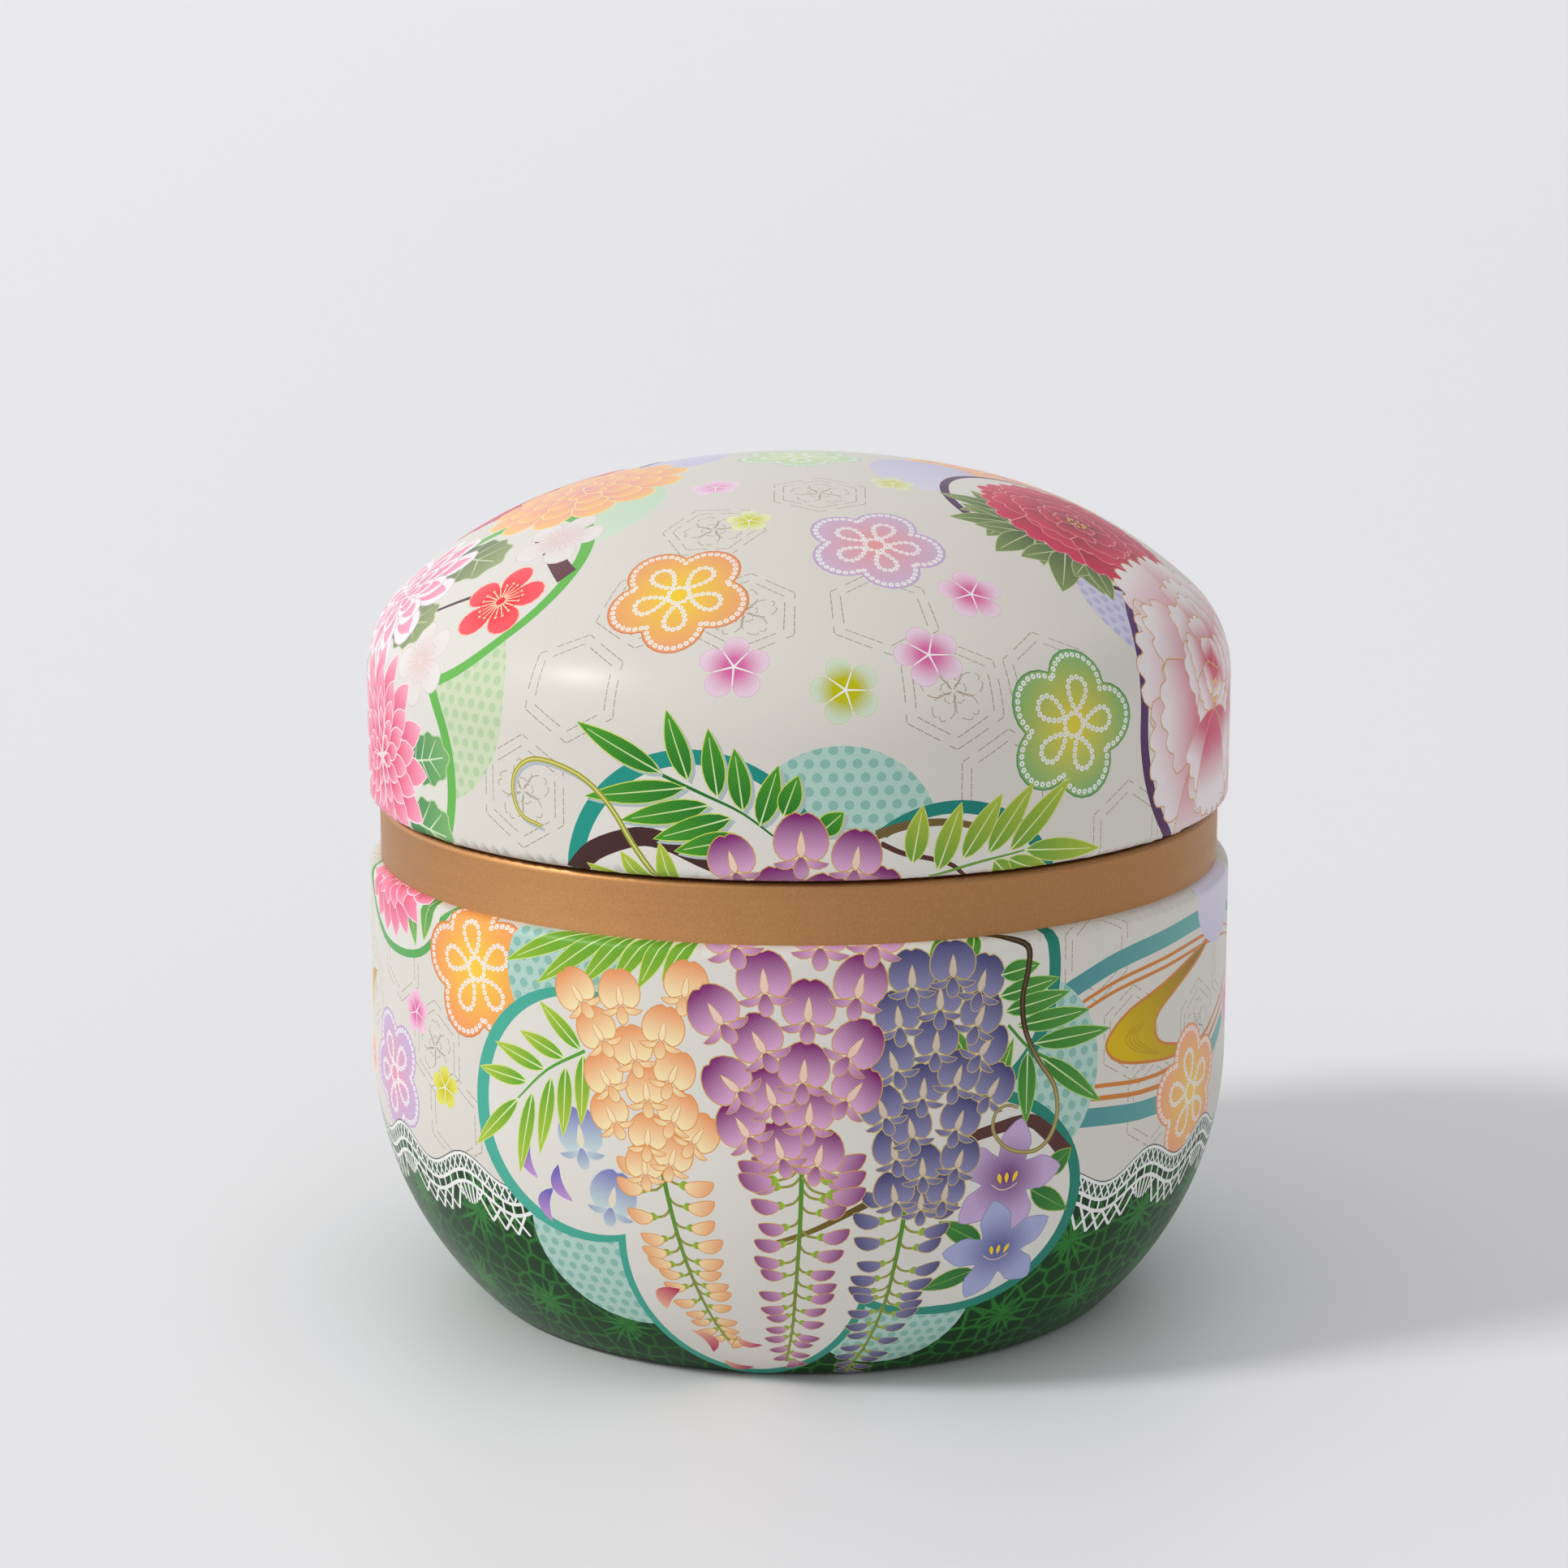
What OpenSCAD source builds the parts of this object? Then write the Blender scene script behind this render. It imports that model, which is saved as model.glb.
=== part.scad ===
// Round tea caddy of printed tinplate: a bowl-shaped body, a copper-lacquered
// neck ring, a domed lid that slides over the neck, and a plug-in inner lid.
// Millimetres, +Z up, origin at the centre of the base.

/* [Sheet] */
// Thickness of the tinplate
sheet_t = 0.35; // [0.25:0.05:0.6]

/* [Body] */
// Outer diameter of the body
body_d = 86; // [70:1:110]
// Height of the body, to the top of its curled lip
body_h = 44.5; // [40:0.5:52]
// Height at which the wall starts to curve in towards the base
bowl_start_h = 25; // [20:0.5:30]
// Radius of the bowl's curve
bowl_r = 34; // [31:0.5:40]
// Radius of the edge between the bowl and the foot
foot_edge_r = 1.2; // [0.8:0.1:2]
// Width of the flat foot
foot_w = 2.5; // [1.5:0.5:5]
// How far the base panel is set up above the foot
panel_rise = 0.8; // [0.4:0.1:2]
// Radius of the lip that curls in to the neck ring
body_lip_r = 1.2; // [0.8:0.05:2]

/* [Neck ring] */
// Height of the copper band that stays visible under the lid
band_h = 5.8; // [3:0.2:10]
// How far the neck stands in from the band
neck_step = 1.1; // [0.8:0.1:2]
// Radius of the band's shoulder
shoulder_r = 0.7; // [0.4:0.1:0.8]
// Height of the neck above the shoulder
neck_h = 11.2; // [8:0.2:13]
// Radius of the rolled bead along the neck's top
bead_r = 0.6; // [0.45:0.05:0.8]
// How far the ring reaches down inside the body
sleeve_depth = 14.5; // [10:0.5:18]

/* [Lid] */
// Outer diameter of the lid
lid_d = 85.6; // [70:0.2:110]
// Height of the lid
lid_h = 33.1; // [28:0.1:40]
// Gap between the lid's rim and the band's shoulder
rim_gap = 0.2; // [0.1:0.05:0.5]
// Radius of the dome's crown
crown_r = 82.5; // [78:0.5:100]
// Half angle that the crown covers
crown_angle = 14; // [8:1:18]
// Radius of the dome's flank
flank_r = 44.5; // [40:0.5:50]
// Radius of the dome's edge
edge_r = 11; // [8:0.5:14]
// Radius of the hem rolled in along the rim
hem_r = 0.95; // [0.8:0.05:1]

/* [Inner lid] */
// Gap between the inner lid's wall and the neck's bead
plug_gap = 0.2; // [0.1:0.05:0.4]
// Depth of the inner lid's pan
pan_depth = 5.6; // [5:0.2:8]
// Width of the flange that rests on the neck
flange_w = 1.2; // [0.8:0.1:1.3]
// Radius of the pan's lower corner
pan_corner_r = 1.5; // [1:0.1:2.5]
// Radius of the raised disc in the pan's floor
disc_r = 22; // [14:1:30]
// Height of that raised disc
disc_rise = 0.8; // [0.4:0.1:1.5]

/* [Knob] */
// Diameter of the knob's head
knob_d = 15; // [12:0.5:20]
// Height of the knob above the pan
knob_h = 8; // [6:0.5:9]
// Diameter of the knob's stem
stem_d = 7; // [5:0.5:9]
// Diameter of the rivet that holds the knob
rivet_d = 3; // [2:0.5:4]

/* [Hidden] */
$fn = 96;
arc_steps = 20;
small_arc_steps = 8;
seat_gap = 0.1;
knob_round = 1.6;
knob_crown = 0.6;
stem_flare = 1;
rivet_gap = 0.05;
rivet_head_h = 0.6;

body_r = body_d / 2;
lid_r = lid_d / 2;
band_r = body_r - body_lip_r;
neck_r = band_r - neck_step;
band_top = body_h + band_h;
neck_top = band_top + neck_h;
sleeve_bottom = body_h - sleeve_depth;
lid_bottom = band_top + rim_gap;
lid_top = lid_bottom + lid_h;

// Points along an arc in the profile's plane, from angle a0 to angle a1
function arc(c, r, a0, a1, steps) =
    [for (i = [0:steps]) let (a = a0 + (a1 - a0) * i / steps)
        [c[0] + r * cos(a), c[1] + r * sin(a)]];

function reversed(points) = [for (i = [len(points) - 1:-1:0]) points[i]];

// A sheet of revolution between its outside and inside profiles
module sheet_of_revolution(outside, inside) {
    rotate_extrude() polygon(concat(outside, reversed(inside)));
}

// Centre of the bowl's arc, and of the foot's edge, which touches both the
// bowl's arc and the table
bowl_c = [body_r - bowl_r, bowl_start_h];
foot_c = [
    bowl_c[0] + sqrt(pow(bowl_r - foot_edge_r, 2) - pow(bowl_start_h - foot_edge_r, 2)),
    foot_edge_r
];
foot_angle = atan2(foot_c[1] - bowl_c[1], foot_c[0] - bowl_c[0]);
body_lip_c = [body_r - body_lip_r, body_h - body_lip_r];

// One face of the body's sheet, set in from the outside by "inset"
function body_face(inset) = concat(
    [[0, panel_rise + inset]],
    [[foot_c[0] - foot_w - panel_rise, panel_rise + inset]],
    [[foot_c[0] - foot_w, inset]],
    arc(foot_c, foot_edge_r - inset, -90, foot_angle, small_arc_steps),
    arc(bowl_c, bowl_r - inset, foot_angle, 0, arc_steps),
    arc(body_lip_c, body_lip_r - inset, 0, 90, small_arc_steps)
);

module body_shell() {
    color([0.80, 0.79, 0.77]) sheet_of_revolution(body_face(0), body_face(sheet_t));
}

shoulder_c = [band_r - shoulder_r, band_top - shoulder_r];
bead_c = [neck_r - bead_r, neck_top - bead_r];
fit_r = body_r - sheet_t;
fit_h = 4;
taper_h = 2;

// One face of the ring's sheet, from its sleeve inside the body to its bead
function ring_face(inset) = concat(
    [[fit_r - inset, sleeve_bottom]],
    [[fit_r - inset, sleeve_bottom + fit_h]],
    [[band_r - inset, sleeve_bottom + fit_h + taper_h]],
    arc(shoulder_c, shoulder_r - inset, 0, 90, small_arc_steps),
    [[neck_r - inset, band_top - inset]],
    arc(bead_c, bead_r - inset, 0, 200, small_arc_steps)
);

module neck_ring() {
    color([0.72, 0.45, 0.28]) sheet_of_revolution(ring_face(0), ring_face(sheet_t));
}

// The dome's three arcs: the crown is centred on the axis, the edge meets the
// straight wall, and the flank joins them
crown_c = [0, lid_top - crown_r];
flank_c = [
    (crown_r - flank_r) * sin(crown_angle),
    crown_c[1] + (crown_r - flank_r) * cos(crown_angle)
];
edge_x = lid_r - edge_r;
edge_c = [edge_x, flank_c[1] + sqrt(pow(flank_r - edge_r, 2) - pow(edge_x - flank_c[0], 2))];
edge_angle = atan2(edge_c[1] - flank_c[1], edge_c[0] - flank_c[0]);
hem_c = [lid_r - hem_r, lid_bottom + hem_r];
hem_turn_up = 0.8;

// One face of the lid's sheet, from the middle of the dome to the hem
function lid_face(inset) = concat(
    arc(crown_c, crown_r - inset, 90, 90 - crown_angle, arc_steps),
    arc(flank_c, flank_r - inset, 90 - crown_angle, edge_angle, arc_steps),
    arc(edge_c, edge_r - inset, edge_angle, 0, arc_steps),
    arc(hem_c, hem_r - inset, 0, -180, 2 * small_arc_steps),
    [[hem_c[0] - hem_r + inset, hem_c[1] + hem_turn_up]]
);

module lid_shell() {
    color([0.82, 0.81, 0.80]) sheet_of_revolution(lid_face(0), lid_face(sheet_t));
}

plug_r = neck_r - 2 * bead_r - plug_gap;
flange_z = neck_top + seat_gap;
pan_z = flange_z - pan_depth;
pan_corner_c = [plug_r - pan_corner_r, pan_z + pan_corner_r];
rivet_hole_r = rivet_d / 2 + rivet_gap;

// One face of the inner lid's sheet, from the rivet's hole to the flange
function pan_face(inset) = concat(
    [[rivet_hole_r, pan_z + disc_rise + inset]],
    [[disc_r, pan_z + disc_rise + inset]],
    [[disc_r + disc_rise, pan_z + inset]],
    arc(pan_corner_c, pan_corner_r - inset, -90, 0, small_arc_steps),
    [[plug_r - inset, flange_z + inset]],
    [[plug_r + flange_w, flange_z + inset]]
);

module inner_lid() {
    color([0.80, 0.80, 0.79]) sheet_of_revolution(pan_face(0), pan_face(sheet_t));
}

// The knob stands on the raised disc, and its rivet is spread out below it
module inner_lid_knob() {
    seat_z = pan_z + disc_rise + sheet_t;
    head_z = seat_z + knob_h;
    head_c = [knob_d / 2 - knob_round, head_z - knob_crown - knob_round];
    under_z = pan_z + disc_rise;
    color([0.78, 0.78, 0.77]) rotate_extrude() polygon(concat(
        [[0, under_z - rivet_head_h]],
        [[rivet_d, under_z - rivet_head_h]],
        [[rivet_d, under_z]],
        [[rivet_d / 2, under_z]],
        [[rivet_d / 2, seat_z]],
        [[stem_d / 2 + stem_flare, seat_z]],
        [[stem_d / 2, seat_z + stem_flare]],
        [[stem_d / 2, head_z - knob_crown - 2 * knob_round - stem_flare]],
        arc(head_c, knob_round, -90, 70, small_arc_steps),
        [[0, head_z]]
    ));
}

body_shell();
neck_ring();
inner_lid();
inner_lid_knob();
lid_shell();
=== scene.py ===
import math

import bpy
import numpy as np
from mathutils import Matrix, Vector, geometry


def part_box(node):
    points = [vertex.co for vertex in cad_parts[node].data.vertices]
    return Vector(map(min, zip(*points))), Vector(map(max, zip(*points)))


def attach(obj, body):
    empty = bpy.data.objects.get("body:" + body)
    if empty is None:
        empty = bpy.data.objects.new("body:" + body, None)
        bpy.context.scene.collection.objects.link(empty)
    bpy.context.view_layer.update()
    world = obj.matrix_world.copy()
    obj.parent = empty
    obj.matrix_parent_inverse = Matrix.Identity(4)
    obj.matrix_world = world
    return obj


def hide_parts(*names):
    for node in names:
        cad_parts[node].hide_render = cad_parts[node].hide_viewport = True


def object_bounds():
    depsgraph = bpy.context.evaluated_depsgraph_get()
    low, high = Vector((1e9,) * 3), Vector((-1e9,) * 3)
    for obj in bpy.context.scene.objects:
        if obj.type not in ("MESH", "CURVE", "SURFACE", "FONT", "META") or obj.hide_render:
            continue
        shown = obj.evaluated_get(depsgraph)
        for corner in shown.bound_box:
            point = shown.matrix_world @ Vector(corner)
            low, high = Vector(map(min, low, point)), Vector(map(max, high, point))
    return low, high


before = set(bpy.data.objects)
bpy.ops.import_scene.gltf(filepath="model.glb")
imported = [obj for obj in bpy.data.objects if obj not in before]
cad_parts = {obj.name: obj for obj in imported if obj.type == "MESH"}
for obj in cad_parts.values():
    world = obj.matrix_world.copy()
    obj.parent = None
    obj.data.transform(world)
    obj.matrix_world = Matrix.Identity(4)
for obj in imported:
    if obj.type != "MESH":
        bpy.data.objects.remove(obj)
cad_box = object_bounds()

MM = 0.001
TAU = 2 * math.pi


# ---------------------------------------------------------------- nodes

def linear(colour):
    """An sRGB colour in 0 to 255 as a linear one in 0 to 1"""
    c = np.asarray(colour, float) / 255.0
    return tuple(np.where(c <= 0.04045, c / 12.92, ((c + 0.055) / 1.055) ** 2.4))


class Nodes:
    """A short way to build the nodes of a material or of the world"""

    def __init__(self, owner, shader="Principled BSDF"):
        owner.use_nodes = True
        self.owner = owner
        self.tree = owner.node_tree
        self.shader = self.tree.nodes[shader]

    def put(self, node, inputs):
        for key, value in inputs.items():
            if isinstance(value, bpy.types.NodeSocket):
                self.tree.links.new(value, node.inputs[key])
            else:
                node.inputs[key].default_value = value

    def add(self, kind, inputs, output=0, **settings):
        """One output of a new node"""
        node = self.tree.nodes.new("ShaderNode" + kind)
        for key, value in settings.items():
            setattr(node, key, value)
        self.put(node, inputs)
        return node.outputs[output]

    def maths(self, operation, *values):
        return self.add("Math", dict(enumerate(values)), operation=operation)

    def mix(self, factor, first, second, blend="MIX"):
        return self.add("Mix", {0: factor, 6: first, 7: second}, 2, data_type="RGBA", blend_type=blend)

    def remap(self, value, low, high, to_low, to_high):
        return self.add("MapRange", dict(enumerate((value, low, high, to_low, to_high))))

    def place(self, kind="Object"):
        return self.add("TexCoord", {}, kind)

    def noise(self, scale, detail, vector=None):
        return self.add("TexNoise", {"Scale": scale, "Detail": detail, "Vector": vector or self.place()})

    def bump(self, height, strength, distance):
        return self.add("Bump", {"Strength": strength, "Distance": distance, "Height": height})


# ---------------------------------------------------------------- camera, light, floor

PHOTO_SIZE = 1932
FOCAL_PX = 4700.0
AXIS_OFFSET_PX = 18.3
CAMERA_BACK = 0.3745
CAMERA_HEIGHT = 0.1293
CAMERA_PITCH = math.radians(11.87)
KEY_HEADING = (1.0, 0.36, 0.0)
KEY_HEIGHT = math.radians(39)
KEY_WIDTH = math.radians(11)
KEY_POWER = 1.45
KEY_TINT = (1.0, 0.99, 0.98)
ROOM_TINT = (0.97, 0.975, 1.0)
ROOM_POWER = 0.66
ROOM_TONES = (1.08, 0.92, 1.0)      # the left's and the right's brightness, and how it falls between them
ROOM_MIRRORED = (2.6, 0.6, 1.6)     # the same, for what the glossy surfaces reflect
FLOOR_REACH = 80.0
FLOOR_GAP = 0.00005


def new_object(name, data):
    made = bpy.data.objects.new(name, data)
    bpy.context.collection.objects.link(made)
    return made


def make_camera():
    data = bpy.data.cameras.new("camera")
    data.sensor_width = 36.0
    data.lens = data.sensor_width * FOCAL_PX / PHOTO_SIZE
    data.shift_x = -AXIS_OFFSET_PX / PHOTO_SIZE
    data.clip_start = 0.01
    camera = new_object("camera", data)
    camera.location = (0.0, -CAMERA_BACK, CAMERA_HEIGHT)
    camera.rotation_euler = (math.pi / 2 - CAMERA_PITCH, 0.0, 0.0)
    bpy.context.scene.camera = camera
    bpy.context.scene.view_settings.view_transform = "Standard"
    bpy.context.scene.view_settings.look = "None"


def make_room():
    """An even white room, brighter towards the left"""
    n = Nodes(bpy.data.worlds.new("studio"), "Background")
    across = n.add("SeparateXYZ", {0: n.place("Generated")}, "X")
    leftness = n.maths("MULTIPLY_ADD", across, -0.5, 0.5)
    tones = []
    for left, right, fall in (ROOM_TONES, ROOM_MIRRORED):
        tones.append(n.maths("MULTIPLY_ADD", n.maths("POWER", leftness, fall), left - right, right))
    glossy = n.add("LightPath", {}, "Is Glossy Ray")
    tone = n.add("Mix", {0: glossy, 2: tones[0], 3: tones[1]})
    colour = n.add("VectorMath", {0: ROOM_TINT, "Scale": tone}, operation="SCALE")
    n.put(n.shader, {"Color": colour, "Strength": ROOM_POWER})
    bpy.context.scene.world = n.owner


def make_key():
    """A window-like light from the left, as wide as the photo's soft shadow edges"""
    data = bpy.data.lights.new("key", "SUN")
    data.energy = KEY_POWER
    data.angle = KEY_WIDTH
    data.color = KEY_TINT
    towards = Vector(KEY_HEADING).normalized() * math.cos(KEY_HEIGHT)
    towards.z = -math.sin(KEY_HEIGHT)
    new_object("key", data).rotation_euler = towards.to_track_quat("-Z", "Y").to_euler()


def floor_material():
    n = Nodes(bpy.data.materials.new("floor"))
    tone = n.remap(n.noise(900.0, 4.0), 0.3, 0.7, 0.97, 1.0)
    colour = n.mix(tone, (0.805, 0.805, 0.82, 1), (0.835, 0.835, 0.85, 1))
    n.put(n.shader, {"Base Color": colour, "Roughness": 0.5})
    return n.owner


def make_floor():
    mesh = bpy.data.meshes.new("floor")
    corners = [(x * FLOOR_REACH, y * FLOOR_REACH, 0) for x, y in ((-1, -1), (1, -1), (1, 1), (-1, 1))]
    mesh.from_pydata(corners, [], [(0, 1, 2, 3)])
    mesh.materials.append(floor_material())
    floor = new_object("floor", mesh)
    floor.location.z = cad_box[0][2] - FLOOR_GAP


# ---------------------------------------------------------------- materials

SCREEN_PITCH = 0.24     # of the halftone's dots, in mm
SCREEN_ANGLE = math.radians(38)
NET_SCALE = 0.43
NET_INK = (48, 136, 46)


def print_material():
    """Varnished ink: its colour is the drawing's, and the ground's net and the halftone are added here"""
    n = Nodes(bpy.data.materials.new("printed_tin"))
    ink = n.add("Attribute", {}, "Color", attribute_name="ink")
    mark = n.add("Attribute", {}, "Fac", attribute_name="mark")
    flat = n.add("Attribute", {}, "Vector", attribute_name="flat")
    net = n.add("TexVoronoi", {"Vector": flat, "Scale": NET_SCALE, "Randomness": 0.8}, "Distance",
                feature="DISTANCE_TO_EDGE", voronoi_dimensions="2D")
    line = n.remap(net, 0.03, 0.13, 1.0, 0.0)
    patch = n.remap(n.noise(70.0, 1.0), 0.35, 0.65, 0.35, 1.0)
    amount = n.maths("MULTIPLY", n.maths("MULTIPLY", line, patch), mark)
    colour = n.mix(n.maths("MULTIPLY", amount, 0.8), ink, (*linear(NET_INK), 1))
    turned = n.add("VectorRotate", {"Vector": flat, "Angle": SCREEN_ANGLE}, rotation_type="Z_AXIS")
    scaled = n.add("VectorMath", {0: turned, "Scale": 1 / SCREEN_PITCH}, operation="SCALE")
    dots = n.add("TexVoronoi", {"Vector": scaled, "Scale": 1.0, "Randomness": 0.0}, "Distance",
                 voronoi_dimensions="2D")
    screened = n.add("Gamma", {"Color": colour, "Gamma": n.remap(dots, 0.15, 0.55, 1.16, 0.88)})
    n.put(n.shader, {
        "Base Color": screened,
        "Roughness": n.remap(n.noise(45.0, 4.0), 0.3, 0.7, 0.29, 0.36),
        "Specular IOR Level": 0.18,
        "Normal": n.bump(n.noise(2200.0, 2.0), 0.04, 0.00002)})
    return n.owner


def metal_material(name, colour, roughness, ring_grain=0.5):
    """Sheet metal with the fine rings that spinning and drawing leave"""
    n = Nodes(bpy.data.materials.new(name))
    stretched = n.add("VectorMath", {0: n.place(), 1: (60.0, 60.0, 9000.0)}, operation="MULTIPLY")
    rings = n.noise(1.0, 3.0, stretched)
    grain = n.noise(5200.0, 2.0)
    tone = n.remap(n.maths("ADD", n.maths("MULTIPLY", rings, ring_grain), grain), 0.35, 1.1, 0.78, 1.08)
    grey = n.add("CombineColor", {"Red": tone, "Green": tone, "Blue": tone})
    n.put(n.shader, {
        "Base Color": n.mix(1.0, (*colour, 1), grey, "MULTIPLY"),
        "Metallic": 1.0,
        "Roughness": n.remap(rings, 0.3, 0.7, roughness - 0.05, roughness + 0.07),
        "Normal": n.bump(n.maths("ADD", rings, grain), 0.12, 0.00003)})
    return n.owner


# ---------------------------------------------------------------- profiles

class Profile:
    """The outside of a shell from the axis outwards, in mm, as lines and arcs end to end"""

    def __init__(self, side):
        self.side = side        # 1 where the way out from the axis is over the top, -1 under
        self.parts = []
        self.length = 0.0

    def line(self, start, end):
        start, end = np.array(start, float), np.array(end, float)
        run = float(np.linalg.norm(end - start))
        self.parts.append((self.length, run, "line", start, (end - start) / run))
        self.length += run

    def arc(self, centre, radius, first, last):
        run = radius * math.radians(abs(last - first))
        self.parts.append((self.length, run, "arc", np.array(centre, float), (radius, first, last)))
        self.length += run

    def at(self, s):
        """Radius, height and outward normal at a distance along the profile"""
        s = np.atleast_1d(np.asarray(s, float))
        out = np.zeros((len(s), 4))
        for begin, run, kind, origin, shape in self.parts:
            here = s >= begin - 1e-9
            t = np.clip(s[here] - begin, 0, run)
            if kind == "line":
                place = origin + t[:, None] * shape
                normal = np.tile((-self.side * shape[1], self.side * shape[0]), (len(t), 1))
            else:
                radius, first, last = shape
                angle = np.radians(first + (last - first) * t / run)
                normal = np.stack([np.cos(angle), np.sin(angle)], 1)
                place = origin + radius * normal
            out[here] = np.hstack([place, normal])
        return out


def box_mm(node):
    low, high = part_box(node)
    return [v / MM for v in low], [v / MM for v in high]


SHEET_T = 0.35
EQUATOR_R = 43.0
LID_R = 42.8
CROWN_R, CROWN_ANGLE, FLANK_R, EDGE_R, HEM_R = 82.5, 14.0, 44.5, 11.0, 0.95
BODY_R = 43.0
BOWL_START, BOWL_R, FOOT_EDGE_R, FOOT_W, PANEL_RISE, LIP_R = 25.0, 34.0, 1.2, 2.5, 0.8, 1.2

lid_low, lid_high = box_mm("lid_shell")
body_low, body_high = box_mm("body_shell")
ring_low, ring_high = box_mm("neck_ring")
pan_low, pan_high = box_mm("inner_lid")
knob_low, knob_high = box_mm("inner_lid_knob")
LID_TOP, LID_BOTTOM, BODY_TOP = lid_high[2], lid_low[2], body_high[2]


def lid_profile(inset=0.0):
    a = math.radians(CROWN_ANGLE)
    crown = (0.0, LID_TOP - CROWN_R)
    flank = ((CROWN_R - FLANK_R) * math.sin(a), crown[1] + (CROWN_R - FLANK_R) * math.cos(a))
    edge_x = LID_R - EDGE_R
    edge = (edge_x, flank[1] + math.sqrt((FLANK_R - EDGE_R) ** 2 - (edge_x - flank[0]) ** 2))
    turn = math.degrees(math.atan2(edge[1] - flank[1], edge[0] - flank[0]))
    hem = (LID_R - HEM_R, LID_BOTTOM + HEM_R)
    p = Profile(1)
    p.arc(crown, CROWN_R - inset, 90, 90 - CROWN_ANGLE)
    p.arc(flank, FLANK_R - inset, 90 - CROWN_ANGLE, turn)
    p.arc(edge, EDGE_R - inset, turn, 0)
    p.centre_y = edge[1] + p.length
    p.line((LID_R - inset, edge[1]), (LID_R - inset, hem[1]))
    p.arc(hem, HEM_R - inset, 0, -90)
    return p


def body_profile(inset=0.0):
    bowl = (BODY_R - BOWL_R, BOWL_START)
    reach = math.sqrt((BOWL_R - FOOT_EDGE_R) ** 2 - (BOWL_START - FOOT_EDGE_R) ** 2)
    foot = (bowl[0] + reach, FOOT_EDGE_R)
    turn = math.degrees(math.atan2(foot[1] - bowl[1], foot[0] - bowl[0]))
    lip = (BODY_R - LIP_R, BODY_TOP - LIP_R)
    foot_in = foot[0] - FOOT_W
    panel_end = (foot_in - PANEL_RISE, PANEL_RISE + inset)
    p = Profile(-1)
    p.line((0, PANEL_RISE + inset), panel_end)
    p.line(panel_end, (foot_in, inset))
    p.line((foot_in, inset), (foot[0], inset))
    p.arc(foot, FOOT_EDGE_R - inset, -90, turn)
    p.arc(bowl, BOWL_R - inset, turn, 0)
    p.centre_y = BOWL_START - p.length
    p.line((BODY_R - inset, BOWL_START), (BODY_R - inset, lip[1]))
    p.arc(lip, LIP_R - inset, 0, 90)
    return p


# ---------------------------------------------------------------- drawing on the tin

def spun(degrees):
    """The matrix of a turn"""
    a = math.radians(degrees)
    return np.array([[math.cos(a), -math.sin(a)], [math.sin(a), math.cos(a)]])


def polar(radius, angle):
    return radius * math.cos(angle), radius * math.sin(angle)


def fifths():
    """The directions of five petals, from the top"""
    return [TAU * k / 5 + math.pi / 2 for k in range(5)]


class Paint:
    """A flat ink, or one that changes to a second from point a to point b. A radial one changes with
    the distance from a, up to that of b, and keeps the first ink in its core."""

    def __init__(self, colour, second=None, a=(0, 0), b=(0, 1), radial=False, core=0.0, mark=0.0):
        self.colour = np.array(linear(colour))
        self.second = None if second is None else np.array(linear(second))
        self.a, self.b = np.array(a, float), np.array(b, float)
        self.radial = radial
        self.core = core
        self.mark = mark        # how much of the ground's net shows on it

    def at(self, points):
        if self.second is None:
            return np.tile(self.colour, (len(points), 1))
        span = self.b - self.a
        if self.radial:
            reach = np.linalg.norm(span)
            t = (np.linalg.norm(points - self.a, axis=1) - self.core) / (reach - self.core)
        else:
            t = (points - self.a) @ span / (span @ span)
        t = np.clip(t, 0, 1)[:, None]
        return self.colour * (1 - t) + self.second * t


class Page:
    """A place to draw, in mm. The wall page is the shell unrolled: x runs round the equator, y up.
    The top page is the dome seen from above. A stamp is a small page of its own, turned and sized."""

    def __init__(self, sheet, kind, matrix=None, origin=(0.0, 0.0)):
        self.sheet = sheet
        self.kind = kind
        self.matrix = np.eye(2) if matrix is None else matrix
        self.origin = np.array(origin, float)

    def stamp(self, x, y, turn=0.0, size=1.0, flip=False):
        spin = spun(turn) * size
        if flip:
            spin = spin @ np.diag([-1.0, 1.0])
        place = self.matrix @ np.array([x, y]) + self.origin
        if self.kind == "wall" and np.allclose(self.matrix, np.eye(2)):
            radius = self.sheet.profile.at(self.sheet.s_of_y(place[1]))[0, 0]
            spin = np.diag([EQUATOR_R / radius, 1.0]) @ spin
        return Page(self.sheet, self.kind, self.matrix @ spin, place)

    def to_disc(self, points):
        flat = np.asarray(points, float) @ self.matrix.T + self.origin
        if self.kind == "wall":
            s = self.sheet.s_of_y(flat[:, 1])
            angle = flat[:, 0] / EQUATOR_R
            flat = np.stack([s * np.sin(angle), -s * np.cos(angle)], 1)
        return flat @ self.sheet.spin.T

    def from_disc(self, disc, spin):
        flat = disc @ spin
        if self.kind == "wall":
            middle = self.origin[0] / EQUATOR_R
            angle = unwrapped(np.arctan2(flat[:, 0], -flat[:, 1]), middle)
            flat = np.stack([angle * EQUATOR_R, self.sheet.y_of_s(np.linalg.norm(flat, axis=1))], 1)
        return (flat - self.origin) @ np.linalg.inv(self.matrix).T

    def fill(self, outline, paint, inside=None):
        """Paint within an outline, and only inside an earlier shape where that shape's number is given"""
        paint = paint if isinstance(paint, Paint) else Paint(paint)
        return self.sheet.add(self.to_disc(outline), paint, self, inside)

    def band(self, points, width, paint, start=1.0, end=1.0, steps=4, point=0.0):
        self.fill(ribbon(points, width, start, end, steps, point), paint)

    def edged(self, outline, paint, edge, width=0.11):
        """A shape with a thin edge of another ink"""
        self.fill(outline, edge)
        self.fill(grown(outline, -width), paint)


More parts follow.
